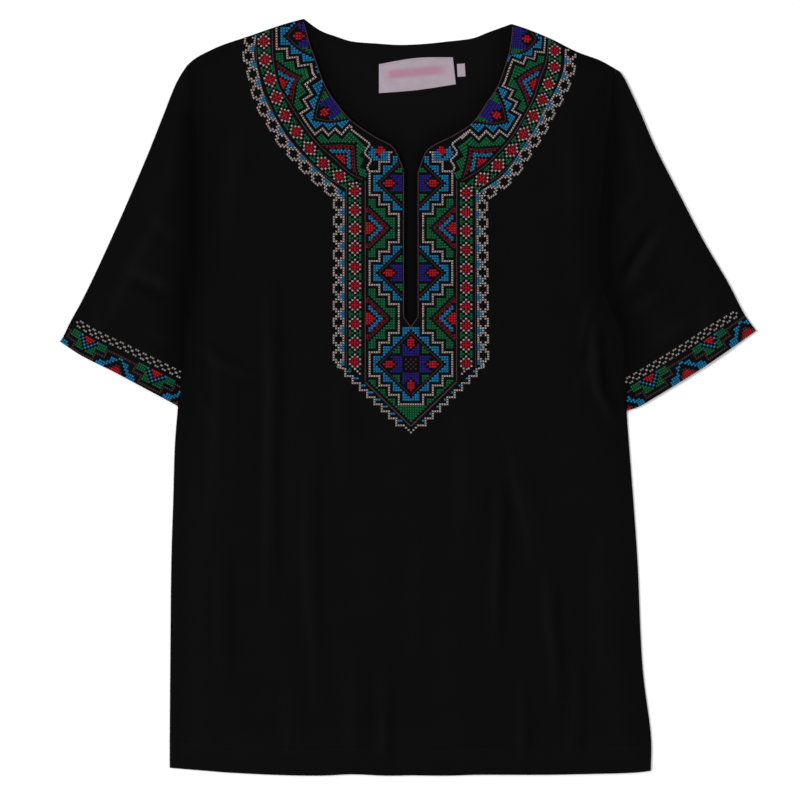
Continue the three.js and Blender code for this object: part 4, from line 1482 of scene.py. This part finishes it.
armhole_paths = [offset_path(side["armhole"], aside, ends=(0.01, 0.99))
                 for side, aside in ((LEFT, SEAM_GAP / 2), (RIGHT, -SEAM_GAP / 2))]
armhole_lots = [running(path, LONG_PITCH, LONG_REACH, width=0.5) for path in armhole_paths]
armhole_stitches = sewn("stitches_armhole", armhole_lots)

# %% [markdown]
# ## Which pieces are sheets of cloth
#
# The front and the back are each cut from a rectangle as wide as the body and as long as the tunic. A sleeve is a
# tube, cut all the way round.

# %% Sheets
print("sheets of cloth: the front, the back, two sleeves, the label and the tab")

# %% [markdown]
# ## The black cloth
#
# The cloth is a plain weave in black cotton. Its threads are about a third of a millimetre, so from a metre away
# the weave shows only as a soft grain. The finish has the weave as two crossed waves, slubs where a thread is
# thicker, and a little lint. Its colour carries painted light and shade from each shell: paler on ridges, darker in
# hollows and along the armhole seams.


# %% Black cloth
WEAVE = 0.00072  # metres from one thread of the weave to the next but one
HOLLOW_SHADE, RIDGE_LIGHT = 0.0008, 0.0043  # painted light and shade: the black's base colour in its shaded hollows and on its lit ridges


def black_cloth(name):
    """Base colour painted from shade in the hollows to light on the ridges, by the shell's shade attribute, with a
    little noise; bump from two crossed sines and finer noise."""
    g = Graph(name, Roughness=0.9, Sheen_Weight=0.02, Sheen_Roughness=0.5, Specular_IOR_Level=0.02)
    grain = g.node("ShaderNodeUVMap", {"uv_map": "grain"})
    x, y, _ = g.parts(grain)
    slub = g.noise(g.node("ShaderNodeMapping", None, Vector=grain, Scale=(1.0, 0.12, 1.0)), 900.0, 2.0)
    warp = (x * (2 * math.pi / WEAVE)).sine()
    weft = (y * (2 * math.pi / WEAVE)).sine()
    weave = warp * weft * 0.5 + slub
    mottle = g.noise(grain, 26.0, 4.0, 0.6)
    fine = g.noise(grain, 700.0, 2.0, 0.6)
    lint = g.noise(grain, 1900.0, 1.0).between(0.74, 0.80)
    # painted shade and light: the shaded and the lit copies of the one black
    hollow, ridge = ((share, share, share * 1.12, 1.0) for share in (HOLLOW_SHADE, RIDGE_LIGHT))  # a little bluer than grey
    colour = g.mix(g.attribute("shade") * 0.88 + mottle * 0.12 + (fine - 0.5) * 0.12, hollow, ridge)
    colour = g.mix(lint * 0.10, colour, (0.05, 0.05, 0.055, 1.0))
    g.feed(Base_Color=colour, Roughness=mottle * 0.12 + 0.82)
    g.bump(weave * 0.6 + g.noise(grain, 160.0, 3.0) * 1.6, 0.55, 0.00035)
    return g.material


cloth = black_cloth("black_cotton")
for piece in (front, back, *sleeves.values()):
    piece.data.materials.append(cloth)
print("black cloth on", len([front, back, *sleeves.values()]), "panels")

# %% [markdown]
# ## Thread
#
# Embroidery thread is six fine strands, barely twisted. One strand shines a little along its length, but close
# stitches that cross look nearly matte, so the finish is too. Every stitch has its own small number, which makes it a
# little paler or darker, as hand-dyed thread is.


# %% Embroidery and sewing thread
def thread(name, colour, roughness=0.6, specular=0.05):
    """One colour, darker and paler from stitch to stitch, with a fine ply in the bump."""
    g = Graph(name, Roughness=roughness, Specular_IOR_Level=specular)
    shade = g.attribute("shade")
    ply = g.noise(g.place(), 2600.0, 2.0)
    deep = tuple(c * 0.62 for c in colour) + (1.0,)
    light = tuple(min(1.0, c * 1.35) for c in colour) + (1.0,)
    g.feed(Base_Color=g.mix(shade * 0.75 + ply * 0.25, deep, light), Roughness=ply * 0.2 + (roughness - 0.1))
    g.bump(ply, 0.4, 0.0002)
    return g.material


def from_screen(red, green, blue):
    """A colour as a screen shows it, from 0 to 255, as the amount of light it stands for."""
    share = np.array([red, green, blue]) / 255.0
    return tuple(np.where(share <= 0.04045, share / 12.92, ((share + 0.055) / 1.055) ** 2.4).tolist())


THREAD = {
    "cream": from_screen(164, 151, 147),
    "grey": from_screen(142, 134, 129),
    "red": from_screen(164, 22, 34),
    "crimson": from_screen(104, 14, 30),
    "green": from_screen(18, 89, 55),
    "sky": from_screen(26, 109, 153),
    "royal": from_screen(38, 29, 110),
    "brown": from_screen(66, 46, 50),
}
for colour, made in embroidery.items():
    made.data.materials.append(thread("thread_" + colour, THREAD[colour]))
black_thread = thread("thread_black", (0.0028, 0.0028, 0.0028), 0.8, 0.02)
edge_stitches.data.materials.append(thread("thread_edge", from_screen(70, 48, 56), 0.8, 0.05))
for made in (hem_stitches, neck_stitches, back_stitches, armhole_stitches):
    made.data.materials.append(black_thread)
label_stitches.data.materials.append(thread("thread_white", (0.30, 0.26, 0.29)))
print("threads:", ", ".join(THREAD))


# %% Label tape
def label_tape(name, stripe):
    """Off-white satin tape. Fine ribs run across it, and a faint pink stripe may be woven along its middle."""
    g = Graph(name, Roughness=0.5, Specular_IOR_Level=0.2, Sheen_Weight=0.05)
    grain = g.node("ShaderNodeUVMap", {"uv_map": "grain"})
    x, y, _ = g.parts(grain)
    ribs = (x * (2 * math.pi / 0.0009)).sine() * (y * (2 * math.pi / 0.0006)).sine()
    cloud = g.noise(grain, 90.0, 3.0)
    colour = g.mix(cloud, (0.28, 0.225, 0.27, 1.0), (0.36, 0.305, 0.35, 1.0))
    if stripe:
        rise = y - x * 0.09
        along = x.between(-0.026, -0.018) * (1 - x.between(0.030, 0.046))
        across = rise.between(0.3495, 0.3550) * (1 - rise.between(0.3585, 0.3650))
        colour = g.mix(along * across * (cloud * 0.5 + 0.45), colour, (0.33, 0.12, 0.20, 1.0))
    g.feed(Base_Color=colour, Roughness=cloud * 0.2 + 0.42)
    g.bump(ribs * 0.4 + cloud, 0.4, 0.0003)
    return g.material


neck_label.data.materials.append(label_tape("label_tape", True))
size_tab.data.materials.append(label_tape("tab_tape", False))
print("label finishes are on")

# %% [markdown]
# ## The table
#
# The tunic lies on a plain white table. It is part of the picture and not of the object.

# %% Table
table_mesh = bpy.data.meshes.new("table")
HALF = 6.0
table_mesh.from_pydata([(-HALF, -HALF, 0), (HALF, -HALF, 0), (HALF, HALF, 0), (-HALF, HALF, 0)], [], [(0, 1, 2, 3)])
table_top = bpy.data.objects.new("table", table_mesh)
bpy.context.collection.objects.link(table_top)
g = Graph("white_table", Roughness=0.8, Specular_IOR_Level=0.2)
g.feed(Base_Color=g.mix(g.noise(g.place(), 3.0, 2.0), (0.86, 0.86, 0.86, 1.0), (0.90, 0.90, 0.90, 1.0)))
table_mesh.materials.append(g.material)
